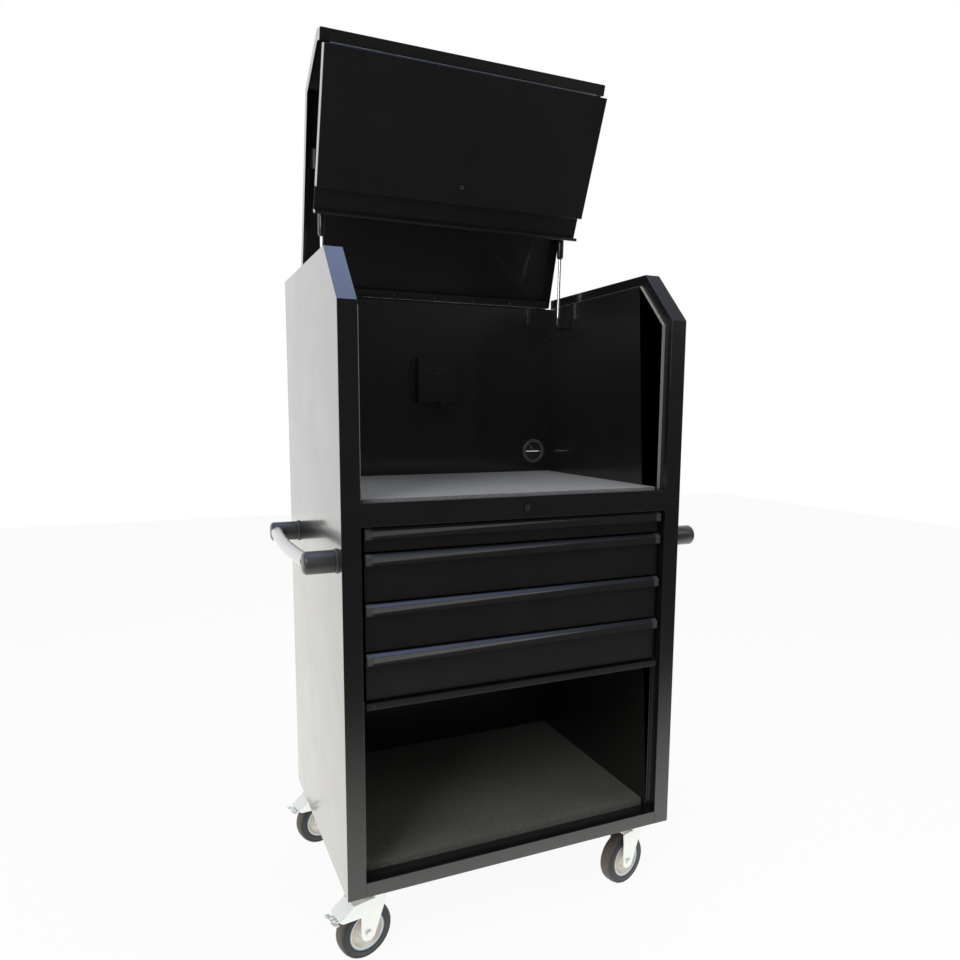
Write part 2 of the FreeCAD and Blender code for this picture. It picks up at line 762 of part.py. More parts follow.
def caster_fork(braked):
    # Pressed fork with its crown; the braked one has the sloping pedal housing
    leg = cheek(braked)
    other = leg.mirror(Vector(0, 0, 0), BACK)
    crown_back = -housing_start if braked else -caster_trail - leg_radius + fork_wall
    crown = box(crown_back, leg_front, -fork_outer, fork_outer, crown_z - fork_wall, crown_z)
    pieces = [leg, other, crown]
    if braked:
        pieces.append(pedal_housing())
    pin_bore = rod(Vector(0, 0, crown_z + 1), -UP, kingpin_radius + kingpin_play, 2 * fork_wall)
    bolt = rod(Vector(-caster_trail, -fork_outer - 1, axle_z), BACK, axle_radius, 2 * fork_outer + 2)
    fork = fused(pieces).cut(pin_bore).cut(bolt)
    head = turned(hex_head(Vector(0, 0, 0), bolt_across, bolt_head), Vector(0, 0, 0), ACROSS, -90)
    nut = moved(head, -caster_trail, -fork_outer, axle_z)
    axle = fused([bolt, nut, nut.mirror(Vector(0, 0, 0), BACK)])
    return [fork, axle]


def caster_wheel():
    # Moulded centre: bored hub, thin web and a rim with raised lips
    w = wheel_width / 2
    bore = axle_radius + axle_play
    well = rim_radius - rim_wall
    half_profile = [(bore, w + 2), (hub_radius, w + 2), (hub_radius, web / 2 + 1), (well - 1, web / 2),
                    (well, w - 3), (rim_radius, w - 2)]
    return revolved(half_profile + [(r, -y) for r, y in reversed(half_profile)])


def caster_tyre():
    # Rubber tread with a crowned face and rounded shoulders
    w = wheel_width / 2
    r = wheel_radius
    half_profile = [(rim_radius, w - 2), (rim_radius + 3, w), (r - 5, w), (r - 1.5, w - 4), (r, w - 10)]
    return revolved(half_profile + [(x, -y) for x, y in reversed(half_profile)])


def revolved(points):
    # Turned round the axle, which lies along Y
    wire = Part.makePolygon([Vector(r, y, 0) for r, y in points + points[:1]])
    solid = Part.Face(wire).revolve(Vector(0, 0, 0), BACK, 360)
    return moved(solid, -caster_trail, 0, axle_z)


def brake_pedal():
    # Foot pedal hung on a pin between the cheeks: a slotted plate with two upturned ears
    pivot = Vector(-pedal_pivot, 0, pedal_z)
    reach = fork_inside / 2 - pivot_gap
    tube = rod(pivot - BACK * reach, BACK, pedal_tube_radius, 2 * reach)
    low = pedal_top - pedal_sheet
    arm = box(-pedal_end, pivot.x, -pedal_arm_width / 2, pedal_arm_width / 2, low, pedal_top)
    head = box(-pedal_end, -pedal_end + pedal_head, -fork_outer, fork_outer, low, pedal_top)
    ear = box(-ear_length, 0, fork_outer - ear_width, fork_outer, -pedal_sheet, 0)
    ear = moved(turned(ear, Vector(0, 0, 0), BACK, ear_tilt), 1.5 - pedal_end, 0, pedal_top)
    plate = fused([arm, head, ear, ear.mirror(Vector(0, 0, 0), BACK)])
    for side in (-1, 1):
        slot = box(-pedal_end + 2, -pedal_end + pedal_head - 1, side * 7 - 2.5, side * 7 + 2.5,
                   low - 1, pedal_top + 1)
        plate = plate.cut(slot)
    return fused([tube, plate])


def on_kingpin(shape, place):
    return moved(turned(shape, Vector(0, 0, 0), UP, caster_turn), place[0], place[1], 0)


def main():
    os.makedirs("parts", exist_ok=True)

    # Fixed cabinet
    right = side_panel()
    save("side_panel_right", [right])
    save("side_panel_left", [mirrored(right)])
    liner = side_liner()
    save("side_liner_right", [liner])
    save("side_liner_left", [mirrored(liner)])
    save("back_panel", [back_panel()])
    save("base_pan", [base_pan()])
    save("work_rail", [work_rail()])
    save("worktop_deck", [worktop_deck()])
    save("drawer_shelf", [drawer_shelf()])
    save("work_mat", [mat(liner_x - 1, work_mat_setback, back_y - 1, deck_top, deck_top + mat_thickness, 6)])
    save("floor_mat", [mat(liner_x - 1, floor_mat_setback, back_y - 1, base_height,
                           base_height + floor_mat_thickness, 6)])
    save("mount_box", mount_box())
    save("cable_grommet", grommet())
    save("cabinet_hinge_leaf", cabinet_hinge())
    save("cabinet_screws", cabinet_screws())
    bracket = wall_bracket()
    save("strut_wall_brackets", [bracket, mirrored(bracket)])
    lock_z = rail_top - rail_height / 2
    save("rail_lock_body", [lock_body(lock_z)])
    save("rail_lock_plug", [lock_plug(lock_z)])
    bosses = [handle_boss(handle_front), handle_boss(handle_front + handle_span)]
    save("handle_brackets", bosses + [mirrored(b) for b in bosses])
    grip = handle_grip()
    save("handle_grips", [grip, mirrored(grip)])

    # Drawers and slides
    channels = []
    for number, (top, tall) in enumerate(zip(drawer_tops(), drawer_heights), start=1):
        name = "drawer_%d_" % number
        slide_z = top - tall / 2 - 1
        channel = slide_channel(slide_z)
        channels += [channel, mirrored(channel)]
        moving = runner(slide_z)
        save(name + "box", [drawer_box(top, tall)])
        save(name + "pull", drawer_pull(top))
        save(name + "runners", [moving, mirrored(moving)])
    save("slide_channels", channels)

    # Hood, flap and struts
    save("hood_shell", [raised(hood_shell())])
    save("hood_hinge_leaves", [raised(piece) for piece in hood_hinges()])
    hanger = hood_bracket()
    save("hood_strut_brackets", [raised(hanger), raised(mirrored(hanger))])
    save("flap_panel", [folded(flap_panel())])
    save("flap_lip", [folded(flap_lip())])
    save("flap_hinge_leaf", [folded(piece) for piece in flap_hinge()])
    save("flap_lock_body", [folded(lock_body(flap_top - flap_lock_down))])
    save("flap_lock_plug", [folded(lock_plug(flap_top - flap_lock_down))])
    stem = strut_rod()
    save("strut_rod_right", [stem])
    save("strut_rod_left", [mirrored(stem)])
    tube = strut_tube()
    save("strut_tube_right", [tube])
    save("strut_tube_left", [mirrored(tube)])

    # Casters: braked on the left, plain on the right
    names = ["front_left", "front_right", "rear_left", "rear_right"]
    save("caster_plates", [moved(caster_plate(), x, y, 0) for x, y in kingpins()])
    for name, place in zip(names, kingpins()):
        braked = name.endswith("left")
        save("caster_fork_" + name, [on_kingpin(piece, place) for piece in caster_fork(braked)])
        save("caster_wheel_" + name, [on_kingpin(caster_wheel(), place)])
        save("caster_tyre_" + name, [on_kingpin(caster_tyre(), place)])
        if braked:
            save("brake_pedal_" + name, [on_kingpin(brake_pedal(), place)])


main()
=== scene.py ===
# %% [markdown]
# A diagnostic workstation: a tall powder-coated steel cabinet on casters, with its hood raised.
# The engineering model comes in as a fixed frame of named pieces at their true size. Here every
# piece gets its finish, and the pieces that need rounder forms are modelled again in place.

# %% Load the frame
import json
import math

import bpy
from mathutils import Matrix, Vector


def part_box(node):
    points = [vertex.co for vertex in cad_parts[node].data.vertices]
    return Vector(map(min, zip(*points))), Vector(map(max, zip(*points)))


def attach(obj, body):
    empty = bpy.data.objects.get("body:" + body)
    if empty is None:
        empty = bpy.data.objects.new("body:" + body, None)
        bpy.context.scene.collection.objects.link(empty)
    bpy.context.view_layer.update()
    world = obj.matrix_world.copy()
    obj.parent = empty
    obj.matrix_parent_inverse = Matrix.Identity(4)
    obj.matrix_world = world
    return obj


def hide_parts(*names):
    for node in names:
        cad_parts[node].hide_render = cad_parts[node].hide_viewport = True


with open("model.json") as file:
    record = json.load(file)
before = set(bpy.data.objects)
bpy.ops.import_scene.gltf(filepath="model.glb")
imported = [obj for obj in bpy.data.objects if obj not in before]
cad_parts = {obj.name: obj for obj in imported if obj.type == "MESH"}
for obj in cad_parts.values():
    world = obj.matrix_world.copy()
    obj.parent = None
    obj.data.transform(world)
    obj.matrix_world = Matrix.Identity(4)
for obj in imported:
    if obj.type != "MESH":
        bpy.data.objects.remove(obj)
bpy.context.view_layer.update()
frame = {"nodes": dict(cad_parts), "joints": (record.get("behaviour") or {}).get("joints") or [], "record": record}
record = frame["record"]
print("nodes in the frame:", len(frame["nodes"]))

# %% [markdown]
# Most sizes below are in millimetres, as on a drawing. They are measured from the cabinet's own
# corner: X across from the middle, Y back from the front face, Z up from the underside. Those
# two planes are read from the base pan, so the scene needs no placing by hand.

# %% Places and lookups
MM = 0.001
BODY = {node: body for body, nodes in record["behaviour"]["bodies"].items() for node in nodes}
JOINT = {joint["name"]: joint for joint in frame["joints"]}
CORNERS = ["front_left", "front_right", "rear_left", "rear_right"]
base_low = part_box("base_pan")[0]


def at(x, y, z):
    """A point of the cabinet, from millimetres to the frame's metres."""
    return Vector((x * MM, base_low.y + y * MM, base_low.z + z * MM))


def middle(node):
    """Centre of a node's box."""
    low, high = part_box(node)
    return (low + high) / 2


print("cabinet front at y", round(base_low.y, 4), "and underside at z", round(base_low.z, 4))

# %% [markdown]
# Operators act on what is selected, so each step starts from an empty selection. These helpers
# pick one piece, apply its place, smooth its round faces and tie it to the body that carries it.

# %% Selecting and finishing
def clear_selection():
    if bpy.context.object and bpy.context.object.mode != "OBJECT":
        bpy.ops.object.mode_set(mode="OBJECT")
    bpy.ops.object.select_all(action="DESELECT")


def pick(piece):
    clear_selection()
    piece.select_set(True)
    bpy.context.view_layer.objects.active = piece
    return piece


def pick_edges(piece, test):
    """Edit mode with only the edges chosen by their two end points."""
    pick(piece)
    bpy.ops.object.mode_set(mode="EDIT")
    bpy.ops.mesh.select_mode(type="EDGE")
    bpy.ops.mesh.select_all(action="DESELECT")
    bpy.ops.object.mode_set(mode="OBJECT")
    points = piece.data.vertices
    for edge in piece.data.edges:
        edge.select = test(points[edge.vertices[0]].co, points[edge.vertices[1]].co)
    bpy.ops.object.mode_set(mode="EDIT")


def pick_faces(piece, test):
    """Edit mode with only the faces chosen by centre and normal."""
    pick(piece)
    bpy.ops.object.mode_set(mode="EDIT")
    bpy.ops.mesh.select_mode(type="FACE")
    bpy.ops.mesh.select_all(action="DESELECT")
    bpy.ops.object.mode_set(mode="OBJECT")
    for face in piece.data.polygons:
        face.select = test(face.center, face.normal)
    bpy.ops.object.mode_set(mode="EDIT")


def edit_all(piece):
    """Edit mode with the whole piece selected."""
    pick(piece)
    bpy.ops.object.mode_set(mode="EDIT")
    bpy.ops.mesh.select_all(action="SELECT")


def leave_edit():
    bpy.ops.object.mode_set(mode="OBJECT")


def apply_modifier(piece, modifier):
    pick(piece)
    bpy.ops.object.modifier_apply(modifier=modifier.name)


def finish_piece(piece, name, material, body, smooth=32):
    """Name, smooth, paint and carry a finished piece."""
    pick(piece)
    bpy.ops.object.transform_apply(location=True, rotation=True, scale=True)
    bpy.ops.object.shade_smooth_by_angle(angle=math.radians(smooth))
    piece.name = name
    piece.data.materials.clear()
    piece.data.materials.append(material)
    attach(piece, body)
    return piece


def bevel(piece, width):
    """Round the edges that turn by more than 30 degrees."""
    rounding = piece.modifiers.new("edge", "BEVEL")
    rounding.width = width * MM
    rounding.segments = 2
    rounding.limit_method = "ANGLE"
    rounding.angle_limit = math.radians(30)
    apply_modifier(piece, rounding)


# %% [markdown]
# Colours are chosen as the familiar hex values. Blender mixes light in linear values, so one
# function turns each hex value over. One more adds a node with its settings and its links.

# %% Colour and node helpers
def colour(code):
    """Linear RGBA of an sRGB hex value."""
    channels = [int(code[i:i + 2], 16) / 255 for i in (1, 3, 5)]
    linear = [c / 12.92 if c <= 0.04045 else ((c + 0.055) / 1.055) ** 2.4 for c in channels]
    return (*linear, 1.0)


def add(tree, kind, links=None, **settings):
    """Add a node. A link's value is a plain value or another node's output socket."""
    node = tree.nodes.new(kind)
    for key, value in settings.items():
        setattr(node, key, value)
    for key, value in (links or {}).items():
        if isinstance(value, bpy.types.NodeSocket):
            tree.links.new(value, node.inputs[key])
        else:
            node.inputs[key].default_value = value
    return node


def new_material(name, **surface):
    """A material with one shader; surface gives that shader's plain values."""
    material = bpy.data.materials.new(name)
    material.use_nodes = True
    tree = material.node_tree
    shader = tree.nodes["Principled BSDF"]
    for key, value in surface.items():
        shader.inputs[key.replace("_", " ")].default_value = value
    return material, tree, shader


def object_space(tree, size_mm, stretch=(1, 1, 1)):
    """Object coordinates scaled so that one unit is size_mm long."""
    place = add(tree, "ShaderNodeTexCoord")
    scale = [s / (size_mm * MM) for s in stretch]
    return add(tree, "ShaderNodeMapping", {"Vector": place.outputs["Object"], "Scale": scale}).outputs[0]


def spread(tree, value, low, high):
    """Map a 0 to 1 value to the range low to high."""
    return add(tree, "ShaderNodeMapRange", {"Value": value, "To Min": low, "To Max": high}).outputs[0]


def blend_colours(tree, factor, first, second):
    """Mix two colours by a factor."""
    mix = add(tree, "ShaderNodeMix", {"Factor": factor}, data_type="RGBA")
    for socket, value in ((mix.inputs[6], first), (mix.inputs[7], second)):
        if isinstance(value, bpy.types.NodeSocket):
            tree.links.new(value, socket)
        else:
            socket.default_value = colour(value)
    return mix.outputs[2]


def noise(tree, vector, detail=3.0, roughness=0.5, scale=1.0):
    return add(tree, "ShaderNodeTexNoise", {"Vector": vector, "Scale": scale, "Detail": detail,
                                            "Roughness": roughness}).outputs[0]


def bump(tree, shader, height, depth_mm, strength=1.0):
    """Raise the shader's normal by a height pattern of a real depth."""
    lift = add(tree, "ShaderNodeBump", {"Height": height, "Distance": depth_mm * MM,
                                        "Strength": strength})
    tree.links.new(lift.outputs[0], shader.inputs["Normal"])


# %% [markdown]
# The cabinet is mild steel sheet under a baked black polyester powder coat. The powder melts
# into a gloss film that never levels out fully: it keeps a faint orange peel a few millimetres
# across. Seen at a glance the film turns to a mirror, and this makes the side panel pale.
# A thin haze of dust and wiping marks varies the gloss from place to place.

# %% Black powder coat
def powder_coat(name, hue, haze, gloss):
    material, tree, shader = new_material(name, Coat_Weight=0.75, Coat_Roughness=0.10)
    wiping = noise(tree, object_space(tree, 160), 4.0, 0.6)
    fine = noise(tree, object_space(tree, 2.2), 1.0)
    dust = noise(tree, object_space(tree, 0.8), 2.0)
    dusted = add(tree, "ShaderNodeMath", {0: dust, 1: wiping}, operation="MULTIPLY").outputs[0]
    base = blend_colours(tree, spread(tree, dusted, 0.0, 0.5), hue, haze)
    tree.links.new(base, shader.inputs["Base Color"])
    tree.links.new(spread(tree, wiping, gloss - 0.06, gloss + 0.08), shader.inputs["Roughness"])
    bump(tree, shader, fine, 0.02, 0.35)
    return material


coat = powder_coat("Powder_coat_satin_black", "#0E0E0F", "#1C1C1D", 0.30)
# A second copy of the same black coat, a shade lighter and warmer, for the bay's back, deck, box, brackets, liners
# and hinges. Its lighter tone is painted light, standing in for the glossy reflections there.
coat_painted_lighter = powder_coat("Powder_coat_black_painted_lighter", "#111110", "#20201D", 0.34)
print("powder coats made")

# %% [markdown]
# The pulls are extruded aluminium under the same black. Extruding leaves fine lines along the
# length, here along X. They are drawn at 0.6 mm so that they still show at this distance.

# %% Coated extrusion
def coated_extrusion():
    material, tree, shader = new_material("Aluminium_extruded_black_coat", Coat_Weight=0.6,
                                          Coat_Roughness=0.16)
    lines = noise(tree, object_space(tree, 0.6, (0.004, 1, 1)), 2.0)
    patches = noise(tree, object_space(tree, 90), 3.0)
    base = blend_colours(tree, patches, "#111112", "#1D1D1E")
    tree.links.new(base, shader.inputs["Base Color"])
    tree.links.new(spread(tree, lines, 0.24, 0.36), shader.inputs["Roughness"])
    bump(tree, shader, lines, 0.012, 0.5)
    return material


extrusion = coated_extrusion()

# %% [markdown]
# Forks, plates, pedals and bolts are pressed steel with bright zinc plating. Plating is rough
# at first and then hazes unevenly, with a cool blue-white cast. The crystals are drawn as
# cells 3 mm across, and the rolling lines of the sheet are left out because plating hides them.

# %% Zinc-plated steel
def zinc_plate():
    material, tree, shader = new_material("Steel_zinc_plated", Metallic=0.6)
    cells = add(tree, "ShaderNodeTexVoronoi", {"Vector": object_space(tree, 3.0), "Scale": 1.0})
    cloud = noise(tree, object_space(tree, 25), 4.0, 0.6)
    grey = blend_colours(tree, cloud, "#E2E6E4", "#F8F9F6")
    tinted = blend_colours(tree, spread(tree, cells.outputs["Distance"], 0.0, 0.25), grey, "#CBD2D2")
    tree.links.new(tinted, shader.inputs["Base Color"])
    tree.links.new(spread(tree, cloud, 0.28, 0.5), shader.inputs["Roughness"])
    bump(tree, shader, cells.outputs["Distance"], 0.02, 0.3)
    return material


zinc = zinc_plate()


# %% [markdown]
# Hinges and slides are cold-rolled strip with a thin dark plating. The rolls leave straight
# lines along the strip, drawn 0.5 mm apart.

# %% Rolled strip, hinge and slide steel
def rolled_strip(name, dark, light):
    material, tree, shader = new_material(name, Metallic=1.0)
    lines = noise(tree, object_space(tree, 0.5, (0.01, 1, 1)), 2.0)
    cloud = noise(tree, object_space(tree, 40), 3.0)
    tree.links.new(blend_colours(tree, cloud, dark, light), shader.inputs["Base Color"])
    tree.links.new(spread(tree, lines, 0.24, 0.42), shader.inputs["Roughness"])
    bump(tree, shader, lines, 0.01, 0.4)
    return material


hinge_steel = rolled_strip("Steel_hinge_strip_plated", "#8A8B8C", "#B4B5B6")
slide_steel = rolled_strip("Steel_slide_rolled_zinc", "#9EA2A4", "#C9CCCD")


# %% [markdown]
# Strut rods are ground and hard chromed, so they are the smoothest metal here. The lock faces
# are turned and nickel plated: turning leaves rings, but at this size only a soft gloss shows.

# %% Chrome, nickel and screw steel
def plated(name, dark, light, rough, grain_mm):
    material, tree, shader = new_material(name, Metallic=1.0)
    grain = noise(tree, object_space(tree, grain_mm), 2.0)
    tree.links.new(blend_colours(tree, grain, dark, light), shader.inputs["Base Color"])
    tree.links.new(spread(tree, grain, rough, rough + 0.12), shader.inputs["Roughness"])
    bump(tree, shader, grain, 0.004, 0.3)
    return material


chrome = plated("Steel_hard_chrome", "#C9CBCC", "#E4E5E6", 0.07, 6)
nickel = plated("Brass_nickel_plated", "#9C9A94", "#C4C2BC", 0.14, 2)
black_screw = plated("Steel_black_oxide_screw", "#2A2A2B", "#47474A", 0.25, 2)


# %% [markdown]
# The push handle is an aluminium tube in silver paint with a soft pearl. Its metal flakes are
# too fine to see, and only give a broad, calm shine. Hands polish it, so the gloss varies.

# %% Silver grip
def silver_paint():
    material, tree, shader = new_material("Aluminium_tube_silver_lacquer", Metallic=0.55,
                                          Coat_Weight=0.3, Coat_Roughness=0.2)
    worn = noise(tree, object_space(tree, 35), 4.0, 0.6)
    flakes = noise(tree, object_space(tree, 0.7), 1.0)
    tree.links.new(blend_colours(tree, worn, "#A9AAAC", "#C9CACB"), shader.inputs["Base Color"])
    tree.links.new(spread(tree, worn, 0.30, 0.46), shader.inputs["Roughness"])
    bump(tree, shader, flakes, 0.006, 0.4)
    return material


silver = silver_paint()


# %% [markdown]
# Handle ends, the cable grommet and the pull caps are injection-moulded plastic with an eroded
# mould grain. The grain is about 0.9 mm and breaks up the shine.

# %% Moulded plastics
def moulded(name, dark, light, rough, grain_mm=0.9, depth=0.03):
    material, tree, shader = new_material(name)
    grain = add(tree, "ShaderNodeTexVoronoi", {"Vector": object_space(tree, grain_mm), "Scale": 1.0})
    cloud = noise(tree, object_space(tree, 30), 3.0)
    tree.links.new(blend_colours(tree, cloud, dark, light), shader.inputs["Base Color"])
    tree.links.new(spread(tree, cloud, rough - 0.06, rough + 0.08), shader.inputs["Roughness"])
    bump(tree, shader, grain.outputs["Distance"], depth, 0.5)
    return material


boss_plastic = moulded("Nylon_moulded_charcoal", "#2C2C2B", "#3C3C3B", 0.36)
cap_plastic = moulded("ABS_moulded_dark_grey", "#2E3032", "#3C3E40", 0.36)
grommet_plastic = moulded("ABS_moulded_black", "#161617", "#222223", 0.38)
ring_plastic = moulded("ABS_moulded_grey", "#3C3C38", "#55554F", 0.34)
star_rubber = moulded("Rubber_moulded_black", "#1C1C1A", "#2C2C29", 0.55)
wheel_plastic = moulded("Polyamide_moulded_cream", "#DDD8CC", "#F3EFE5", 0.40, 1.4, 0.02)
blue_plastic = moulded("Polyurethane_blue_band", "#4E86BE", "#7FAAD4", 0.35)


# %% [markdown]
# The tyre is moulded black rubber. Where it rolls, the skin has worn through to a brown-grey
# band with scuffs along the rolling direction. The band is found by the distance from the
# wheel's middle plane, which is stored on the mesh as an attribute and so turns with the wheel.

# %% Tyre rubber
def tyre_rubber():
    material, tree, shader = new_material("Rubber_tyre_black")
    worn = add(tree, "ShaderNodeAttribute", attribute_name="tread_wear").outputs["Fac"]
    scuffs = noise(tree, object_space(tree, 9), 5.0, 0.7)
    mask = add(tree, "ShaderNodeMath", {0: worn, 1: spread(tree, scuffs, 0.2, 1.3)},
               operation="MULTIPLY", use_clamp=True).outputs[0]
    side = blend_colours(tree, scuffs, "#1E1F1E", "#2E2F2D")
    tree.links.new(blend_colours(tree, mask, side, "#645B53"), shader.inputs["Base Color"])
    tree.links.new(spread(tree, mask, 0.5, 0.8), shader.inputs["Roughness"])
    bump(tree, shader, noise(tree, object_space(tree, 1.5), 3.0), 0.06, 0.5)
    return material


tyre_material = tyre_rubber()


# %% [markdown]
# The work surface is a grey foam sheet with a short felted face. Its fibres are drawn as two
# crossing noises, about 1.6 mm by 6 mm, with paler flecks between. The mat in the lower bay
# is the same kind of sheet in dark charcoal, with a coarser face.

# %% Felted foam mats
def felted(name, dark, light, fleck, fibre_mm, depth):
    material, tree, shader = new_material(name, Sheen_Weight=0.15, Sheen_Roughness=0.6)
    along = noise(tree, object_space(tree, fibre_mm, (0.25, 1, 1)), 3.0, 0.6)
    across = noise(tree, object_space(tree, fibre_mm, (1, 0.25, 1)), 3.0, 0.6)
    fibres = add(tree, "ShaderNodeMath", {0: along, 1: across}, operation="MAXIMUM").outputs[0]
    flecks = add(tree, "ShaderNodeTexVoronoi", {"Vector": object_space(tree, 3.5), "Scale": 1.0})
    soft = noise(tree, object_space(tree, 120), 3.0)
    ground = blend_colours(tree, soft, dark, light)
    pale = add(tree, "ShaderNodeMapRange", {"Value": fibres, "From Min": 0.5, "From Max": 0.75})
    tree.links.new(blend_colours(tree, pale.outputs[0], ground, fleck), shader.inputs["Base Color"])
    tree.links.new(spread(tree, fibres, 0.95, 0.8), shader.inputs["Roughness"])
    rough_face = add(tree, "ShaderNodeMath", {0: fibres, 1: flecks.outputs["Distance"]}, operation="ADD")
    bump(tree, shader, rough_face.outputs[0], depth, 0.8)
    return material


work_felt = felted("Foam_felted_grey", "#5B5C5E", "#6C6D6F", "#8E8F91", 1.6, 0.35)
floor_felt = felted("Foam_felted_charcoal", "#35352F", "#46463F", "#605F57", 2.0, 0.5)
tape_felt = felted("Felt_tape_grey_adhesive", "#6A6864", "#7C7A74", "#9A978F", 1.2, 0.1)
print("materials:", len(bpy.data.materials))

# %% [markdown]
# Folded sheet metal never has a knife edge: each fold has a radius of about the sheet's own
# thickness, and the coat thickens it. These soft edges catch the thin bright lines that draw
# the cabinet's shape. The frame's nodes are sharp, so each folded piece is copied, its loose
# triangles are welded and its edges bevelled. The copy then stands for the node.

# %% Folded pieces with rounded edges
def node_copy(node):
    """A welded copy of a node's mesh, free of the node's own marks."""
    source = frame["nodes"][node]
    piece = source.copy()
    piece.data = source.data.copy()
    for key in list(piece.keys()):
        del piece[key]
    piece.parent = None
    bpy.context.scene.collection.objects.link(piece)
    piece.hide_viewport = False
    piece.hide_render = False
    piece.hide_set(False)
    edit_all(piece)
    bpy.ops.mesh.remove_doubles(threshold=0.02 * MM)
    bpy.ops.mesh.dissolve_limited(angle_limit=math.radians(0.6))
    leave_edit()
    return piece


def rounded_copy(node, material, width):
    """A bevelled copy of a node that replaces it on the same body. No width means no bevel."""
    piece = node_copy(node)
    if width:
        bevel(piece, width)
    finish_piece(piece, node + "_folded", material, BODY[node], 50)
    flatten = piece.modifiers.new("flat_faces", "WEIGHTED_NORMAL")
    flatten.keep_sharp = True
    apply_modifier(piece, flatten)
    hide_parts(node)
    return piece


# Pieces on the lighter coat carry its painted light.
FOLDED = {
    "side_panel_left": (coat, 1.6), "side_panel_right": (coat, 1.6), "base_pan": (coat, 1.2),
    "work_rail": (coat, 0.7), "drawer_shelf": (coat, 0.6), "worktop_deck": (coat_painted_lighter, 0.5),
    "hood_shell": (coat, 0.7), "flap_panel": (coat, 0.7), "flap_lip": (coat, 0.8),
    "mount_box": (coat_painted_lighter, 0.7), "strut_wall_brackets": (coat_painted_lighter, 0.5),
    "hood_strut_brackets": (coat_painted_lighter, 0.4), "back_panel": (coat_painted_lighter, 0.0),
}
for drawer in range(1, 5):
    FOLDED[f"drawer_{drawer}_box"] = (coat, 0.5)
for node, (material, width) in FOLDED.items():
    rounded_copy(node, material, width)
print("folded pieces:", len(FOLDED))


# %% [markdown]
# A thin grey felt tape lies on the seat where the hood comes down, so that steel never meets
# steel. It starts as a copy of the seat's own faces, found by their place and the way they
# face. The copy is cut off level with the work rail, and then thickened by half a millimetre.

# %% Seat tape
SEAT_WIDTH = 8
TAPE = 0.45
rail_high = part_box("work_rail")[1].z
post_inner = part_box("work_rail")[1].x


def on_seat(centre, normal):
    across = post_inner - abs(centre.x)
    faces_out = (normal.y < -0.6 or normal.z > 0.6) and abs(normal.x) < 0.1
    return 0 < across < SEAT_WIDTH * MM and faces_out


for word in ("left", "right"):
    tape = node_copy("side_panel_" + word)
    pick_faces(tape, lambda centre, normal: not on_seat(centre, normal))
    bpy.ops.mesh.delete(type="FACE")
    bpy.ops.mesh.select_all(action="SELECT")
    bpy.ops.mesh.bisect(plane_co=(0, 0, rail_high + 1 * MM), plane_no=(0, 0, 1), clear_inner=True)
    leave_edit()
    thicken = tape.modifiers.new("thickness", "SOLIDIFY")
    thicken.thickness = TAPE * MM
    thicken.offset = 1
    apply_modifier(tape, thicken)
    print("tape faces:", len(tape.data.polygons))
    finish_piece(tape, "seat_tape_" + word, tape_felt, "root")
print("seat tapes done")

# %% [markdown]
# Pressed zinc parts are rounded in the same way. Their blanking leaves a rolled-over edge on
# one side, and the plating softens the rest. The screws share one node: the bolts under the
# cabinet are zinc, and the button heads above its underside are black.

# %% Pressed caster and screw pieces
PRESSED = {"caster_plates": 0.5, "cabinet_screws": 0.0}
for corner in CORNERS:
    PRESSED["caster_fork_" + corner] = 0.7
    if corner.endswith("left"):
        PRESSED["brake_pedal_" + corner] = 0.4
for node, width in PRESSED.items():
    pressed = rounded_copy(node, zinc, width)
    if node == "cabinet_screws":
        pressed.data.materials.append(black_screw)
        for face in pressed.data.polygons:
            face.material_index = int(face.center.z > base_low.z)
print("pressed pieces:", len(PRESSED))

# %% [markdown]
# The long pulls are one extrusion with a moulded cap at each end. The caps are a separate
# colour, so the faces beyond the extrusion's ends get the cap's plastic.

# %% Drawer pulls with their end caps
CAP_LENGTH = 13
for drawer in range(1, 5):
    node = f"drawer_{drawer}_pull"
    pull = rounded_copy(node, extrusion, 0.5)
    pull_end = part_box(node)[1].x
    pull.data.materials.append(cap_plastic)
    for face in pull.data.polygons:
        if abs(face.center.x) > pull_end - CAP_LENGTH * MM:
            face.material_index = 1
print("pulls done")


# %% [markdown]
# Hinges, slides and locks keep their nodes. They are small, their shape is right as it is, and
# only their finish is missing.

# %% Nodes that keep their shape
KEPT = {
    "slide_channels": slide_steel, "side_liner_left": coat_painted_lighter, "side_liner_right": coat_painted_lighter,
    "rail_lock_plug": nickel, "flap_lock_plug": nickel,
}
for drawer in range(1, 5):
    KEPT[f"drawer_{drawer}_runners"] = slide_steel
for node, material in KEPT.items():
    slots = frame["nodes"][node].data.materials
    slots.clear()
    slots.append(material)
print("kept nodes:", len(KEPT))


# %% [markdown]
# The continuous hinges are coated with the cabinet. The flap's hinge has close knuckles, and
# their faces get bare steel: a painted highlight for the bright lines along the coated barrel.
# The hood's hinge is a wide-pitch one, made further down from turned knuckles, so only the
# plates of its leaves are kept here.

# %% Hinge leaves
HOOD_AXIS = Vector(JOINT["hood_hinge"]["pos_m"])
FLAP_AXIS = Vector(JOINT["flap_hinge"]["pos_m"])
FLAP_KNUCKLE = 3.1
LEAF_REACH = 100
KNUCKLE_ROOM = 3.6
HOOD_OPEN = math.radians(74)
cabinet_along = Vector((0, -1, 0))
leaf_along = Vector((0, -math.cos(HOOD_OPEN), math.sin(HOOD_OPEN)))
leaf_facing = Vector((0, -math.sin(HOOD_OPEN), -math.cos(HOOD_OPEN)))


def off_axis(point, axis):
    """Distance of a point from an axis along X, in millimetres."""
    return math.hypot(point.y - axis.y, point.z - axis.z) / MM


def drop_faces(piece, unwanted):
    pick_faces(piece, lambda centre, normal: unwanted(centre))
    bpy.ops.mesh.delete(type="FACE")
    leave_edit()


def far_from_hood_axis(point):
    return off_axis(point, HOOD_AXIS) > LEAF_REACH


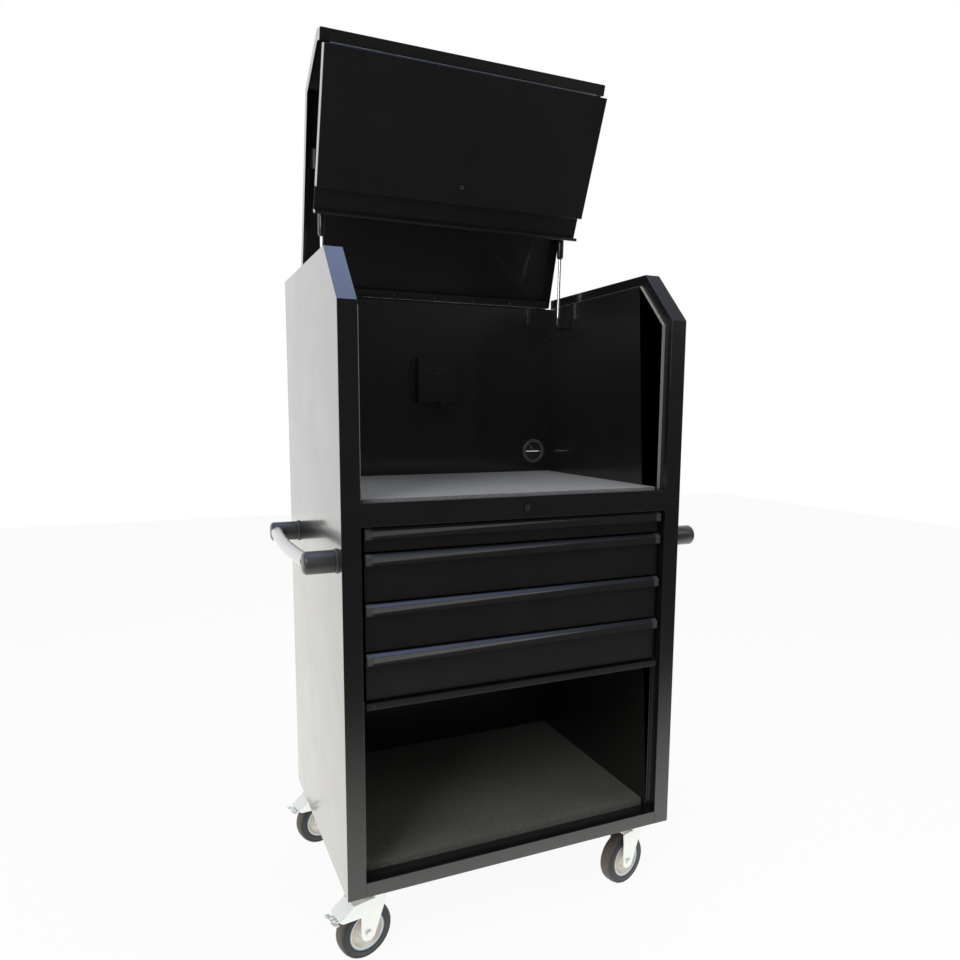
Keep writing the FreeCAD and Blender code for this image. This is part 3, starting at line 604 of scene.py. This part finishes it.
def plate_only(piece, along):
    """Cut a leaf of the hood's hinge off short of its axis, to leave its flat plate."""
    edit_all(piece)
    bpy.ops.mesh.bisect(plane_co=HOOD_AXIS + along * KNUCKLE_ROOM * MM, plane_no=along, use_fill=True,
                        clear_inner=True)
    leave_edit()


for node in ("hood_hinge_leaves", "flap_hinge_leaf"):
    leaf = rounded_copy(node, coat_painted_lighter, 0)
    if node == "hood_hinge_leaves":
        drop_faces(leaf, lambda point: not far_from_hood_axis(point))
    # Bare steel on the flap's knuckle faces is a painted highlight along the coated barrel.
    leaf.data.materials.append(hinge_steel)
    for face in leaf.data.polygons:
        if off_axis(face.center, FLAP_AXIS) < FLAP_KNUCKLE:
            face.material_index = 1
cabinet_plate = rounded_copy("cabinet_hinge_leaf", coat_painted_lighter, 0)
plate_only(cabinet_plate, cabinet_along)
hood_plate = node_copy("hood_hinge_leaves")
drop_faces(hood_plate, far_from_hood_axis)
plate_only(hood_plate, leaf_along)
finish_piece(hood_plate, "hood_hinge_plate", coat_painted_lighter, "hood")
print("hinge leaves done")

# %% [markdown]
# Anything turned, such as a wheel, a boss or a tube, starts as one circle. The circle is
# extruded along the axis and resized at each step, as a profile is drawn on a lathe. A closed
# profile comes back to its first ring and is welded there.

# %% Turned forms
def turned(profile, steps, closed=False):
    """A turned form round Z at the origin, from (radius, height) pairs in millimetres."""
    first_radius, first_height = profile[0]
    clear_selection()
    bpy.ops.mesh.primitive_circle_add(vertices=steps, radius=first_radius * MM, fill_type="NOTHING",
                                      location=(0, 0, 0))
    piece = bpy.context.object
    bpy.ops.object.mode_set(mode="EDIT")
    bpy.ops.mesh.select_all(action="SELECT")
    bpy.ops.transform.translate(value=(0, 0, first_height * MM))
    for (radius, height), (next_radius, next_height) in zip(profile, profile[1:]):
        rise = (0, 0, (next_height - height) * MM)
        bpy.ops.mesh.extrude_region_move(TRANSFORM_OT_translate={"value": rise})
        share = next_radius / radius
        bpy.ops.transform.resize(value=(share, share, 1))
    if not closed:
        bpy.ops.mesh.edge_face_add()
        bpy.ops.mesh.select_all(action="DESELECT")
        bpy.ops.mesh.select_mode(type="VERT")
        leave_edit()
        for vertex in piece.data.vertices[:steps]:
            vertex.select = True
        bpy.ops.object.mode_set(mode="EDIT")
        bpy.ops.mesh.edge_face_add()
    bpy.ops.mesh.select_all(action="SELECT")
    bpy.ops.mesh.remove_doubles(threshold=0.01 * MM)
    bpy.ops.mesh.normals_make_consistent(inside=False)
    leave_edit()
    return piece


def stand(piece, centre, direction):
    """Turn the piece's Z to a direction and put its origin at a point."""
    turn = Vector(direction).to_track_quat("Z", "Y").to_matrix().to_4x4()
    piece.data.transform(Matrix.Translation(centre) @ turn)
    return piece


# %% [markdown]
# The knuckles of the hood's hinge belong in turn to the cabinet's leaf and to the hood's, with
# a wide gap between them where daylight and the bare pin show. One knuckle is a ring with a
# flat tab that reaches its plate. An array makes the row from it.

# %% Knuckles of the hood's hinge
KNUCKLE_PITCH = 24.5
KNUCKLE_LENGTH = 10.8
KNUCKLE_COUNT = 28
KNUCKLE_RADIUS = 3.0
HINGE_LENGTH = KNUCKLE_PITCH * KNUCKLE_COUNT
HINGE_SHEET = 1.2
PLATE_OFFSET = 0.8
TAB_PLACE = 3.0
TAB_LENGTH = 2.0
PIN_RADIUS = 1.5
BORE_RADIUS = PIN_RADIUS + 0.1
RIGHT = Vector((1, 0, 0))
DOWN = Vector((0, 0, -1))


def knuckle_with_tab(place, along, back):
    """One knuckle round the hood's axis, joined to the tab that runs into its plate."""
    half = KNUCKLE_LENGTH / 2
    knuckle = turned([(KNUCKLE_RADIUS, -half), (KNUCKLE_RADIUS, half), (BORE_RADIUS, half),
                      (BORE_RADIUS, -half)], 20, closed=True)
    stand(knuckle, place, RIGHT)
    bpy.ops.mesh.primitive_cube_add(size=1, location=(0, 0, 0))
    tab = bpy.context.object
    tab_centre = place + (along * TAB_PLACE + back * PLATE_OFFSET) * MM
    sides = Matrix((RIGHT * KNUCKLE_LENGTH * MM, along * TAB_LENGTH * MM, back * HINGE_SHEET * MM))
    tab.data.transform(Matrix.Translation(tab_centre) @ sides.transposed().to_4x4())
    pick(knuckle)
    tab.select_set(True)
    bpy.ops.object.join()
    return knuckle


for first, name, body, along, back in (
        (0, "cabinet_hinge_knuckles", "root", cabinet_along, DOWN),
        (1, "hood_hinge_knuckles", "hood", leaf_along, -leaf_facing)):
    start_x = ((first + 0.5) * KNUCKLE_PITCH - HINGE_LENGTH / 2) * MM
    knuckle = knuckle_with_tab(Vector((start_x, HOOD_AXIS.y, HOOD_AXIS.z)), along, back)
    row = knuckle.modifiers.new("row", "ARRAY")
    row.use_relative_offset = False
    row.use_constant_offset = True
    row.constant_offset_displace = (2 * KNUCKLE_PITCH * MM, 0, 0)
    row.count = KNUCKLE_COUNT // 2
    apply_modifier(knuckle, row)
    edit_all(knuckle)
    bpy.ops.mesh.normals_make_consistent(inside=False)
    leave_edit()
    finish_piece(knuckle, name, coat_painted_lighter, body)
pin = turned([(PIN_RADIUS, -HINGE_LENGTH / 2), (PIN_RADIUS, HINGE_LENGTH / 2)], 20)
finish_piece(stand(pin, HOOD_AXIS, RIGHT), "hood_hinge_pin", chrome, "root")
print("hinge knuckles:", KNUCKLE_COUNT)

# %% [markdown]
# A row of spot welds holds the hood's leaf. Each leaves a small bare dimple that catches light.

# %% Spot welds of the hood's leaf
WELD_PITCH = 117
WELD_COUNT = 5
WELD_RADIUS = 1.8
WELD_ALONG = 12
WELD_BEHIND = 0.2
WELD_PROFILE = [(WELD_RADIUS, -0.3), (WELD_RADIUS, 0.05), (WELD_RADIUS - 0.7, 0.15), (0.6, 0.05)]
for number in range(WELD_COUNT):
    weld = turned(WELD_PROFILE, 20)
    x = (number - (WELD_COUNT - 1) / 2) * WELD_PITCH * MM
    centre = Vector((x, HOOD_AXIS.y, HOOD_AXIS.z))
    centre += (leaf_along * WELD_ALONG - leaf_facing * WELD_BEHIND) * MM
    finish_piece(stand(weld, centre, leaf_facing), f"hinge_weld_{number + 1}", hinge_steel, "hood")
print("spot welds:", WELD_COUNT)

# %% [markdown]
# The wheels are a cream plastic centre with a thin blue band and a thick black tyre. The tyre
# bulges and has rounded shoulders. The centre is a dish with a raised ring and a hub.

# %% Caster wheels
wheel_low, wheel_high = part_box("caster_wheel_front_left")
RIM = (wheel_high.z - wheel_low.z) / 2 / MM
TYRE = middle("caster_tyre_front_left").z / MM
HALF_WIDTH = 17
BAND = 1.6
HUB = 15
AXLE = 4.1


def both_halves(half):
    """A closed profile from one half, which is mirrored in the middle plane."""
    return half + [(radius, -height) for radius, height in reversed(half)] + half[:1]


TYRE_PROFILE = both_halves([
    (RIM + BAND, -HALF_WIDTH + 1.5), (RIM + 4, -HALF_WIDTH), (TYRE - 9, -HALF_WIDTH),
    (TYRE - 7.5, -HALF_WIDTH + 0.8), (TYRE - 6, -HALF_WIDTH), (TYRE - 3.5, -HALF_WIDTH + 1),
    (TYRE - 1.4, -HALF_WIDTH + 4), (TYRE - 0.4, -HALF_WIDTH + 8), (TYRE, -6),
])
BAND_PROFILE = both_halves([(RIM, -HALF_WIDTH + 1), (RIM + BAND, -HALF_WIDTH + 0.6)])
CENTRE_PROFILE = both_halves([
    (AXLE, HUB + 4), (HUB - 5, HUB + 4), (HUB - 4, HUB + 3), (HUB - 3.4, 9), (HUB + 4, 7),
    (HUB + 6, 9.5), (HUB + 8.5, 9.5), (HUB + 10, 6.5), (RIM - 9, 7), (RIM - 5, 10),
    (RIM - 4, HALF_WIDTH - 2.5), (RIM - 3, HALF_WIDTH - 1.5), (RIM, HALF_WIDTH - 1.5),
])
TREAD_EDGE = 2.4
TREAD_FADE = 1.8


def mark_tread(piece):
    """Store how worn each point is: full on the tread, none on the walls."""
    wear = piece.data.attributes.new("tread_wear", "FLOAT", "POINT")
    radii = [math.hypot(v.co.x, v.co.y) / MM for v in piece.data.vertices]
    worn = [max(0.0, min(1.0, (r - TYRE + TREAD_EDGE) / TREAD_FADE)) for r in radii]
    wear.data.foreach_set("value", worn)


for corner in CORNERS:
    joint = JOINT["roll_" + corner]
    centre = Vector(joint["pos_m"])
    axle = Vector(joint["axis"])
    body = "wheel_" + corner
    tyre = turned(TYRE_PROFILE, 96, closed=True)
    mark_tread(tyre)
    finish_piece(stand(tyre, centre, axle), "tyre_" + corner, tyre_material, body)
    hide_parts("caster_tyre_" + corner)
    band = turned(BAND_PROFILE, 96, closed=True)
    finish_piece(stand(band, centre, axle), "tyre_band_" + corner, blue_plastic, body)
    wheel = turned(CENTRE_PROFILE, 96, closed=True)
    finish_piece(stand(wheel, centre, axle), "wheel_centre_" + corner, wheel_plastic, body)
    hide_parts("caster_wheel_" + corner)
print("wheels:", len(CORNERS), "rim radius", round(RIM, 1), "tyre radius", round(TYRE, 1))

# %% [markdown]
# Each push handle is two stout moulded ends and a bowed tube between them. The ends are turned
# with a foot flange, a shadow ring near the panel and a wide chamfer at the nose. The tube is
# a circle spun about the bow's centre, with its pivot given, because there is no window.

# %% Push handles
bracket_low, bracket_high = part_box("handle_brackets")
grip_low, grip_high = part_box("handle_grips")
panel_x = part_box("side_panel_right")[1].x / MM
HANDLE_Z = middle("handle_brackets").z
BOSS_RADIUS = 23.5
FOOT = 2
REACH = bracket_high.x / MM - panel_x
HANDLE_FRONT = bracket_low.y / MM + BOSS_RADIUS + FOOT
HANDLE_REAR = bracket_high.y / MM - BOSS_RADIUS - FOOT
BOSS_PROFILE = [
    (BOSS_RADIUS + FOOT, 0), (BOSS_RADIUS + FOOT, 3.6), (BOSS_RADIUS + FOOT - 1.4, 5),
    (BOSS_RADIUS - 0.9, 5), (BOSS_RADIUS - 0.9, 7), (BOSS_RADIUS, 7.8), (BOSS_RADIUS, REACH - 7),
    (BOSS_RADIUS - 2, REACH - 3.4), (BOSS_RADIUS - 5.5, REACH - 0.8), (BOSS_RADIUS - 8, REACH),
]
GRIP_RADIUS = (grip_high.z - grip_low.z) / 2
span = (HANDLE_REAR - HANDLE_FRONT) * MM
bow_x = grip_high.x - GRIP_RADIUS
BOW = 13 * MM
bow_radius = span ** 2 / (8 * BOW) + BOW / 2
sweep = 2 * math.asin((span / 2 - BOSS_RADIUS * MM + 4 * MM) / bow_radius)
middle_y = (HANDLE_FRONT + HANDLE_REAR) / 2 * MM


def bowed_tube(side):
    """The silver tube on one side, spun from a circle at the middle of the bow."""
    centre = Vector((side * (bow_x - bow_radius), middle_y, HANDLE_Z))
    clear_selection()
    bpy.ops.mesh.primitive_circle_add(vertices=40, radius=GRIP_RADIUS, fill_type="NOTHING",
                                      location=(side * bow_x, middle_y, HANDLE_Z),
                                      rotation=(math.pi / 2, 0, 0))
    tube = bpy.context.object
    bpy.ops.object.transform_apply(location=True, rotation=True, scale=True)
    start = Matrix.Rotation(-sweep / 2, 4, "Z")
    tube.data.transform(Matrix.Translation(centre) @ start @ Matrix.Translation(-centre))
    edit_all(tube)
    bpy.ops.mesh.spin(steps=36, angle=sweep, center=centre, axis=(0, 0, -1))
    bpy.ops.mesh.select_all(action="SELECT")
    bpy.ops.mesh.remove_doubles(threshold=0.01 * MM)
    bpy.ops.mesh.normals_make_consistent(inside=False)
    leave_edit()
    return tube


for side, word in ((-1, "left"), (1, "right")):
    for y, end in ((HANDLE_FRONT, "front"), (HANDLE_REAR, "rear")):
        boss = turned(BOSS_PROFILE, 64)
        stand(boss, Vector((side * panel_x * MM, y * MM, HANDLE_Z)), (side, 0, 0))
        finish_piece(boss, f"handle_end_{end}_{word}", boss_plastic, "root")
    tube = finish_piece(bowed_tube(side), "handle_tube_" + word, silver, "root")
    if side < 0:
        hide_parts("handle_brackets")
        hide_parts("handle_grips")
print("handles span", round(span, 3), "m")

# %% [markdown]
# A gas strut is a chromed rod sliding into a black tube. The tube has a rolled neck with a
# wiper seal at the rod's end, and moulded ball sockets close both ends. The line of each strut
# is read from its slide joint, so it lies on the frame's own strut.

# %% Gas struts
STRUT_TUBE = 9
STRUT_ROD = 4
ROD_SHOWN = 186
NECK_PROFILE = [(STRUT_ROD + 0.3, ROD_SHOWN), (6.2, ROD_SHOWN), (6.8, ROD_SHOWN + 1.5),
                (STRUT_TUBE - 0.8, ROD_SHOWN + 3.5), (STRUT_TUBE, ROD_SHOWN + 6)]
ROD_END_PROFILE = [(5.2, 4), (6.4, 5), (6.4, 16), (5, 22), (4.6, 26)]
SOCKET_PROFILE = [(5.0, -5), (8, -4), (8, 4), (5.0, 5)]
for word in ("left", "right"):
    rod_body = "strut_rod_" + word
    tube_body = "strut_tube_" + word
    along = Vector(JOINT["strut_slide_" + word]["axis"]).normalized()
    foot = Vector(JOINT["strut_swing_" + word]["pos_m"])
    tube_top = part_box(tube_body)[1].z
    length = (tube_top - foot.z) / along.z / MM - STRUT_TUBE + 1
    top = foot + along * (length * MM)
    rod = turned([(STRUT_ROD, 6), (STRUT_ROD, ROD_SHOWN + 16)], 32)
    finish_piece(stand(rod, foot, along), "strut_rod_shaft_" + word, chrome, rod_body)
    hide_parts(rod_body)
    lower = turned(ROD_END_PROFILE, 32)
    finish_piece(stand(lower, foot, along), "strut_rod_end_" + word, grommet_plastic, rod_body)
    ball = turned(SOCKET_PROFILE, 32)
    finish_piece(stand(ball, foot, RIGHT), "strut_lower_socket_" + word, grommet_plastic, rod_body)
    tube = turned(NECK_PROFILE + [(STRUT_TUBE, length - 18), (STRUT_TUBE - 1, length - 15),
                                  (6, length - 13.5), (6, length - 6)], 40)
    finish_piece(stand(tube, foot, along), "strut_tube_body_" + word, coat, tube_body)
    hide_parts(tube_body)
    socket = turned(SOCKET_PROFILE, 32)
    finish_piece(stand(socket, top, RIGHT), "strut_upper_socket_" + word, grommet_plastic, tube_body)
print("strut length", round(length, 1), "mm")

# %% [markdown]
# The cable grommet is a snap-in ring with a rounded flange. The star inside it is soft rubber,
# cut into petals that part for a plug. Each petal is a wedge of one disc that domes slightly
# forward. The rubber has taken a set: the level cut gapes most, and others are nearly shut.

# %% Cable grommet
ring_low, ring_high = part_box("cable_grommet")
RING = (ring_high.x - ring_low.x) / 2 / MM
INNER = RING - 10
FLANGE = 4
SLEEVE = 16
FORWARD = (0, -1, 0)
ring_centre = Vector(((ring_low.x + ring_high.x) / 2, ring_low.y + FLANGE * MM,
                      (ring_low.z + ring_high.z) / 2))
ring = turned([(INNER, -SLEEVE), (RING - 6, -SLEEVE), (RING - 6, 0), (RING, 0), (RING, 1.4),
               (RING - 1.6, 3.2), (RING - 5, FLANGE), (INNER + 1.5, FLANGE), (INNER, 3),
               (INNER, -SLEEVE)], 72, closed=True)
finish_piece(stand(ring, ring_centre, FORWARD), "grommet_ring", ring_plastic, "root")
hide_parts("cable_grommet")
SLITS = [1.3, 0.2, 0.8, 1.3, 0.2, 0.4]
PETALS = len(SLITS)
WEDGE = 2 * math.pi / PETALS
PETAL_PROFILE = [(INNER, -3), (INNER, -1.2), (INNER * 0.6, -0.4), (1.2, 0.2), (1.2, -1.6),
                 (INNER * 0.6, -2.2), (INNER, -3)]
for number, slit in enumerate(SLITS):
    start = number * 2 * math.pi / PETALS
    next_slit = SLITS[(number + 1) % PETALS]
    petal = turned(PETAL_PROFILE, 72, closed=True)
    for angle, shift, is_start in ((start, slit / 2 * MM, True),
                                   (start + WEDGE, -next_slit / 2 * MM, False)):
        edit_all(petal)
        normal = Vector((-math.sin(angle), math.cos(angle), 0))
        bpy.ops.mesh.bisect(plane_co=normal * shift, plane_no=normal, use_fill=True,
                            clear_inner=is_start, clear_outer=not is_start)
        leave_edit()
    finish_piece(stand(petal, ring_centre, FORWARD), f"grommet_petal_{number + 1}", star_rubber, "root")
print("grommet petals:", PETALS)

# %% [markdown]
# A cam lock shows a turned face with a rounded rim. Its plug is a step lower, and the key slot
# in it is cut right through the face of the plug in the frame.

# %% Lock faces
LOCK_RADIUS = 8.2
LOCK_BORE = 5.75
LOCK_BARREL = 7.1
LOCK_DEPTH = 14
LOCK_PROFILE = [
    (LOCK_BORE, -LOCK_DEPTH), (LOCK_BARREL, -LOCK_DEPTH), (LOCK_BARREL, 0), (LOCK_RADIUS, 0),
    (LOCK_RADIUS, 1.7), (LOCK_RADIUS - 0.5, 2.6), (LOCK_RADIUS - 1.3, 3), (6.2, 3), (LOCK_BORE, 2.5),
    (LOCK_BORE, -LOCK_DEPTH),
]
for body, word in (("root", "rail"), ("flap", "flap")):
    joint = JOINT[word + "_lock_turn"]
    face = stand(turned(LOCK_PROFILE, 48, closed=True), Vector(joint["pos_m"]), joint["axis"])
    finish_piece(face, word + "_lock_face", black_screw, body)
    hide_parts(word + "_lock_body")
print("lock faces done")

# %% [markdown]
# A foam mat is a soft slab: its upper edges are rounded, its face is a little uneven, and it
# has no hard line anywhere. It starts as a grid of the node's size, drawn down to a slab. Its
# upright corners and its upper edges are rounded, and a fine displacement from a cloud texture
# makes the face uneven, apart from a border that stays flat.

# %% Mats
CORNER_ROUND = 5
EDGE_ROUND = 1.6
FLAT_BORDER = 12


def mat(node, name, material, lift):
    """A rounded foam slab in a node's place. The lift is the depth of its uneven face."""
    low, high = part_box(node)
    size = high - low
    clear_selection()
    bpy.ops.mesh.primitive_grid_add(x_subdivisions=48, y_subdivisions=36, size=1,
                                    location=((low.x + high.x) / 2, (low.y + high.y) / 2, high.z))
    piece = bpy.context.object
    piece.scale = (size.x, size.y, 1)
    bpy.ops.object.transform_apply(location=True, rotation=True, scale=True)
    pick_faces(piece, lambda centre, normal: True)
    bpy.ops.mesh.extrude_region_move(TRANSFORM_OT_translate={"value": (0, 0, -size.z)})
    leave_edit()

    def off_corner(point):
        return min(point.x - low.x, high.x - point.x) + min(point.y - low.y, high.y - point.y)

    pick_edges(piece, lambda a, b: abs(a.z - b.z) > size.z / 2 and off_corner(a) < 0.01 * MM)
    bpy.ops.mesh.bevel(offset=CORNER_ROUND * MM, segments=4, affect="EDGES")
    leave_edit()
    pick_faces(piece, lambda centre, normal: normal.z > 0.99 and centre.z > high.z - 0.1 * MM)
    bpy.ops.mesh.region_to_loop()
    bpy.ops.mesh.bevel(offset=EDGE_ROUND * MM, segments=3, affect="EDGES")
    bpy.ops.mesh.select_all(action="SELECT")
    bpy.ops.mesh.normals_make_consistent(inside=False)
    leave_edit()
    waves = bpy.data.textures.new(name + "_waves", "CLOUDS")
    waves.noise_scale = 0.09
    press = piece.modifiers.new("press", "DISPLACE")
    press.texture = waves
    press.texture_coords = "GLOBAL"
    press.direction = "Z"
    press.mid_level = 1.0
    press.strength = lift * MM
    inner = piece.vertex_groups.new(name="inner")
    border = FLAT_BORDER * MM
    inner.add([v.index for v in piece.data.vertices
               if v.co.z > high.z - 0.05 * MM and low.x + border < v.co.x < high.x - border
               and low.y + border < v.co.y < high.y - border], 1.0, "REPLACE")
    press.vertex_group = inner.name
    apply_modifier(piece, press)
    finish_piece(piece, name, material, "root", 50)
    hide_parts(node)


mat("work_mat", "work_surface_pad", work_felt, 0.5)
mat("floor_mat", "lower_bay_pad", floor_felt, 0.6)

# %% [markdown]
# The photograph is taken from the left, a little above the work surface. The place and lens of
# the camera come from straight edges of the cabinet, so the same corners fall on the same
# pixels. The picture's optical centre is a little low, and a small shift takes that up.

# %% Camera
CAMERA = at(-740.8, -1442.0, 1025.9)
YAW = 23.51
PITCH = 7.37
ROLL = 0.27
SENSOR = 36
FRAME_PIXELS = 960
FOCAL_PIXELS = 748.12
CENTRE_PIXELS = (479.24, 508.56)
camera_data = bpy.data.cameras.new("photo_camera")
camera = bpy.data.objects.new("photo_camera", camera_data)
bpy.context.scene.collection.objects.link(camera)
bpy.context.scene.camera = camera
camera_data.sensor_width = SENSOR
camera_data.lens = SENSOR * FOCAL_PIXELS / FRAME_PIXELS
camera_data.shift_x = (FRAME_PIXELS / 2 - CENTRE_PIXELS[0]) / FRAME_PIXELS
camera_data.shift_y = (CENTRE_PIXELS[1] - FRAME_PIXELS / 2) / FRAME_PIXELS
camera_data.clip_end = 50
view = Matrix.Rotation(math.radians(-YAW), 4, "Z") @ Matrix.Rotation(math.radians(90 - PITCH), 4, "X")
camera.matrix_world = Matrix.Translation(CAMERA) @ view @ Matrix.Rotation(math.radians(ROLL), 4, "Z")

# %% [markdown]
# The studio is a pale floor. The camera sees it nearly white, with a trace of shade under the
# casters. A gloss sees it fade from bright at the cabinet to dark towards the viewer, which is
# why the front post grows paler near its foot.

# %% Floor
clear_selection()
bpy.ops.mesh.primitive_plane_add(size=14, location=(0, 0, 0))
floor = bpy.context.object
floor.name = "studio_floor"
floor_material, floor_tree, floor_shader = new_material("Paper_studio_white", Roughness=0.9)
floor_shader.inputs["Base Color"].default_value = colour("#F4F4F2")
rays = add(floor_tree, "ShaderNodeLightPath")
place = add(floor_tree, "ShaderNodeTexCoord")
spot = add(floor_tree, "ShaderNodeSeparateXYZ", {0: place.outputs["Object"]})
front_falloff = add(floor_tree, "ShaderNodeMapRange", {
    "Value": spot.outputs["Y"], "From Min": -1.8, "From Max": -0.35, "To Min": 0.05, "To Max": 1.6,
}, interpolation_type="SMOOTHSTEP").outputs[0]
paper = add(floor_tree, "ShaderNodeEmission", {"Color": colour("#FFFFFF"), "Strength": 1.0})
mirror = add(floor_tree, "ShaderNodeEmission", {"Color": colour("#F2F1EC"), "Strength": front_falloff})
shaded = add(floor_tree, "ShaderNodeMixShader", {0: 0.93, 1: floor_shader.outputs[0],
                                                 2: paper.outputs[0]})
either = add(floor_tree, "ShaderNodeMixShader", {0: rays.outputs["Is Glossy Ray"], 1: shaded.outputs[0],
                                                 2: mirror.outputs[0]})
floor_tree.links.new(either.outputs[0], floor_tree.nodes["Material Output"].inputs["Surface"])
floor.data.materials.append(floor_material)

# %% [markdown]
# Three large soft lamps light the mats and the zinc: one to the left, one to the right and one
# above, which the gloss doesn't see.

# %% Lamps
def soft_lamp(name, place, target, size, power):
    """An area lamp at a place, turned to its target."""
    lamp = bpy.data.lights.new(name, "AREA")
    lamp.shape = "RECTANGLE"
    lamp.size, lamp.size_y = size
    lamp.energy = power
    holder = bpy.data.objects.new(name, lamp)
    bpy.context.scene.collection.objects.link(holder)
    holder.location = place
    holder.rotation_euler = (Vector(target) - Vector(place)).to_track_quat("-Z", "Y").to_euler()
    return holder


soft_lamp("key_left", (-2.6, -1.9, 2.4), (0, 0, 1.0), (1.6, 2.2), 60)
soft_lamp("fill_right", (3.4, -2.4, 3.0), (0, 0, 0.9), (1.6, 1.6), 25)
top = soft_lamp("top", (0.1, -0.3, 3.7), (0, 0, 0.8), (1.6, 1.6), 48)
top.visible_glossy = False

# %% [markdown]
# The background is white to the camera. The diffuse light of the world stays low, so blacks
# stay black and the pale mats do not clip. What the gloss sees is drawn apart: bright behind
# and beside the cabinet, dark in front of it, and a patch of blue sky straight above.

# %% World
world = bpy.data.worlds.new("studio_world")
bpy.context.scene.world = world
world.use_nodes = True
sky = world.node_tree
sky.nodes.clear()
rays = add(sky, "ShaderNodeLightPath")
direction = add(sky, "ShaderNodeTexCoord")
axes = add(sky, "ShaderNodeSeparateXYZ", {0: direction.outputs["Generated"]})


def ramp(axis, start, end, low, high):
    """A strength that goes from low to high as a direction's axis goes from start to end."""
    limits = {"From Min": start, "From Max": end, "To Min": low, "To Max": high}
    return add(sky, "ShaderNodeMapRange", {"Value": axes.outputs[axis], **limits}).outputs[0]


def glow(code, strength):
    return add(sky, "ShaderNodeBackground", {"Color": colour(code), "Strength": strength})


behind = ramp("Y", -0.1, 0.2, 0.04, 1.0)
to_left = ramp("X", -0.30, -0.15, 1.45, 1.2)
overhead = ramp("Z", 0.45, 0.75, 1.0, 0.2)
beside = add(sky, "ShaderNodeMath", {0: behind, 1: to_left}, operation="MULTIPLY").outputs[0]
level = add(sky, "ShaderNodeMath", {0: beside, 1: overhead}, operation="MULTIPLY").outputs[0]
ambient = glow("#FFFFFF", 0.35)
mirror_view = glow("#FFFFFF", level)
blue_top = glow("#B4CBFF", ramp("Z", 0.82, 0.95, 0.0, 2.4))
mirror_all = add(sky, "ShaderNodeAddShader", {0: mirror_view.outputs[0], 1: blue_top.outputs[0]})
white = glow("#FFFFFF", 1.0)
glossy = add(sky, "ShaderNodeMath", {0: rays.outputs["Is Glossy Ray"],
                                     1: rays.outputs["Is Transmission Ray"]}, operation="MAXIMUM")
lit = add(sky, "ShaderNodeMixShader", {0: glossy.outputs[0], 1: ambient.outputs[0],
                                       2: mirror_all.outputs[0]})
seen = add(sky, "ShaderNodeMixShader", {0: rays.outputs["Is Camera Ray"], 1: lit.outputs[0],
                                        2: white.outputs[0]})
add(sky, "ShaderNodeOutputWorld", {"Surface": seen.outputs[0]})
bpy.context.scene.view_settings.view_transform = "Standard"
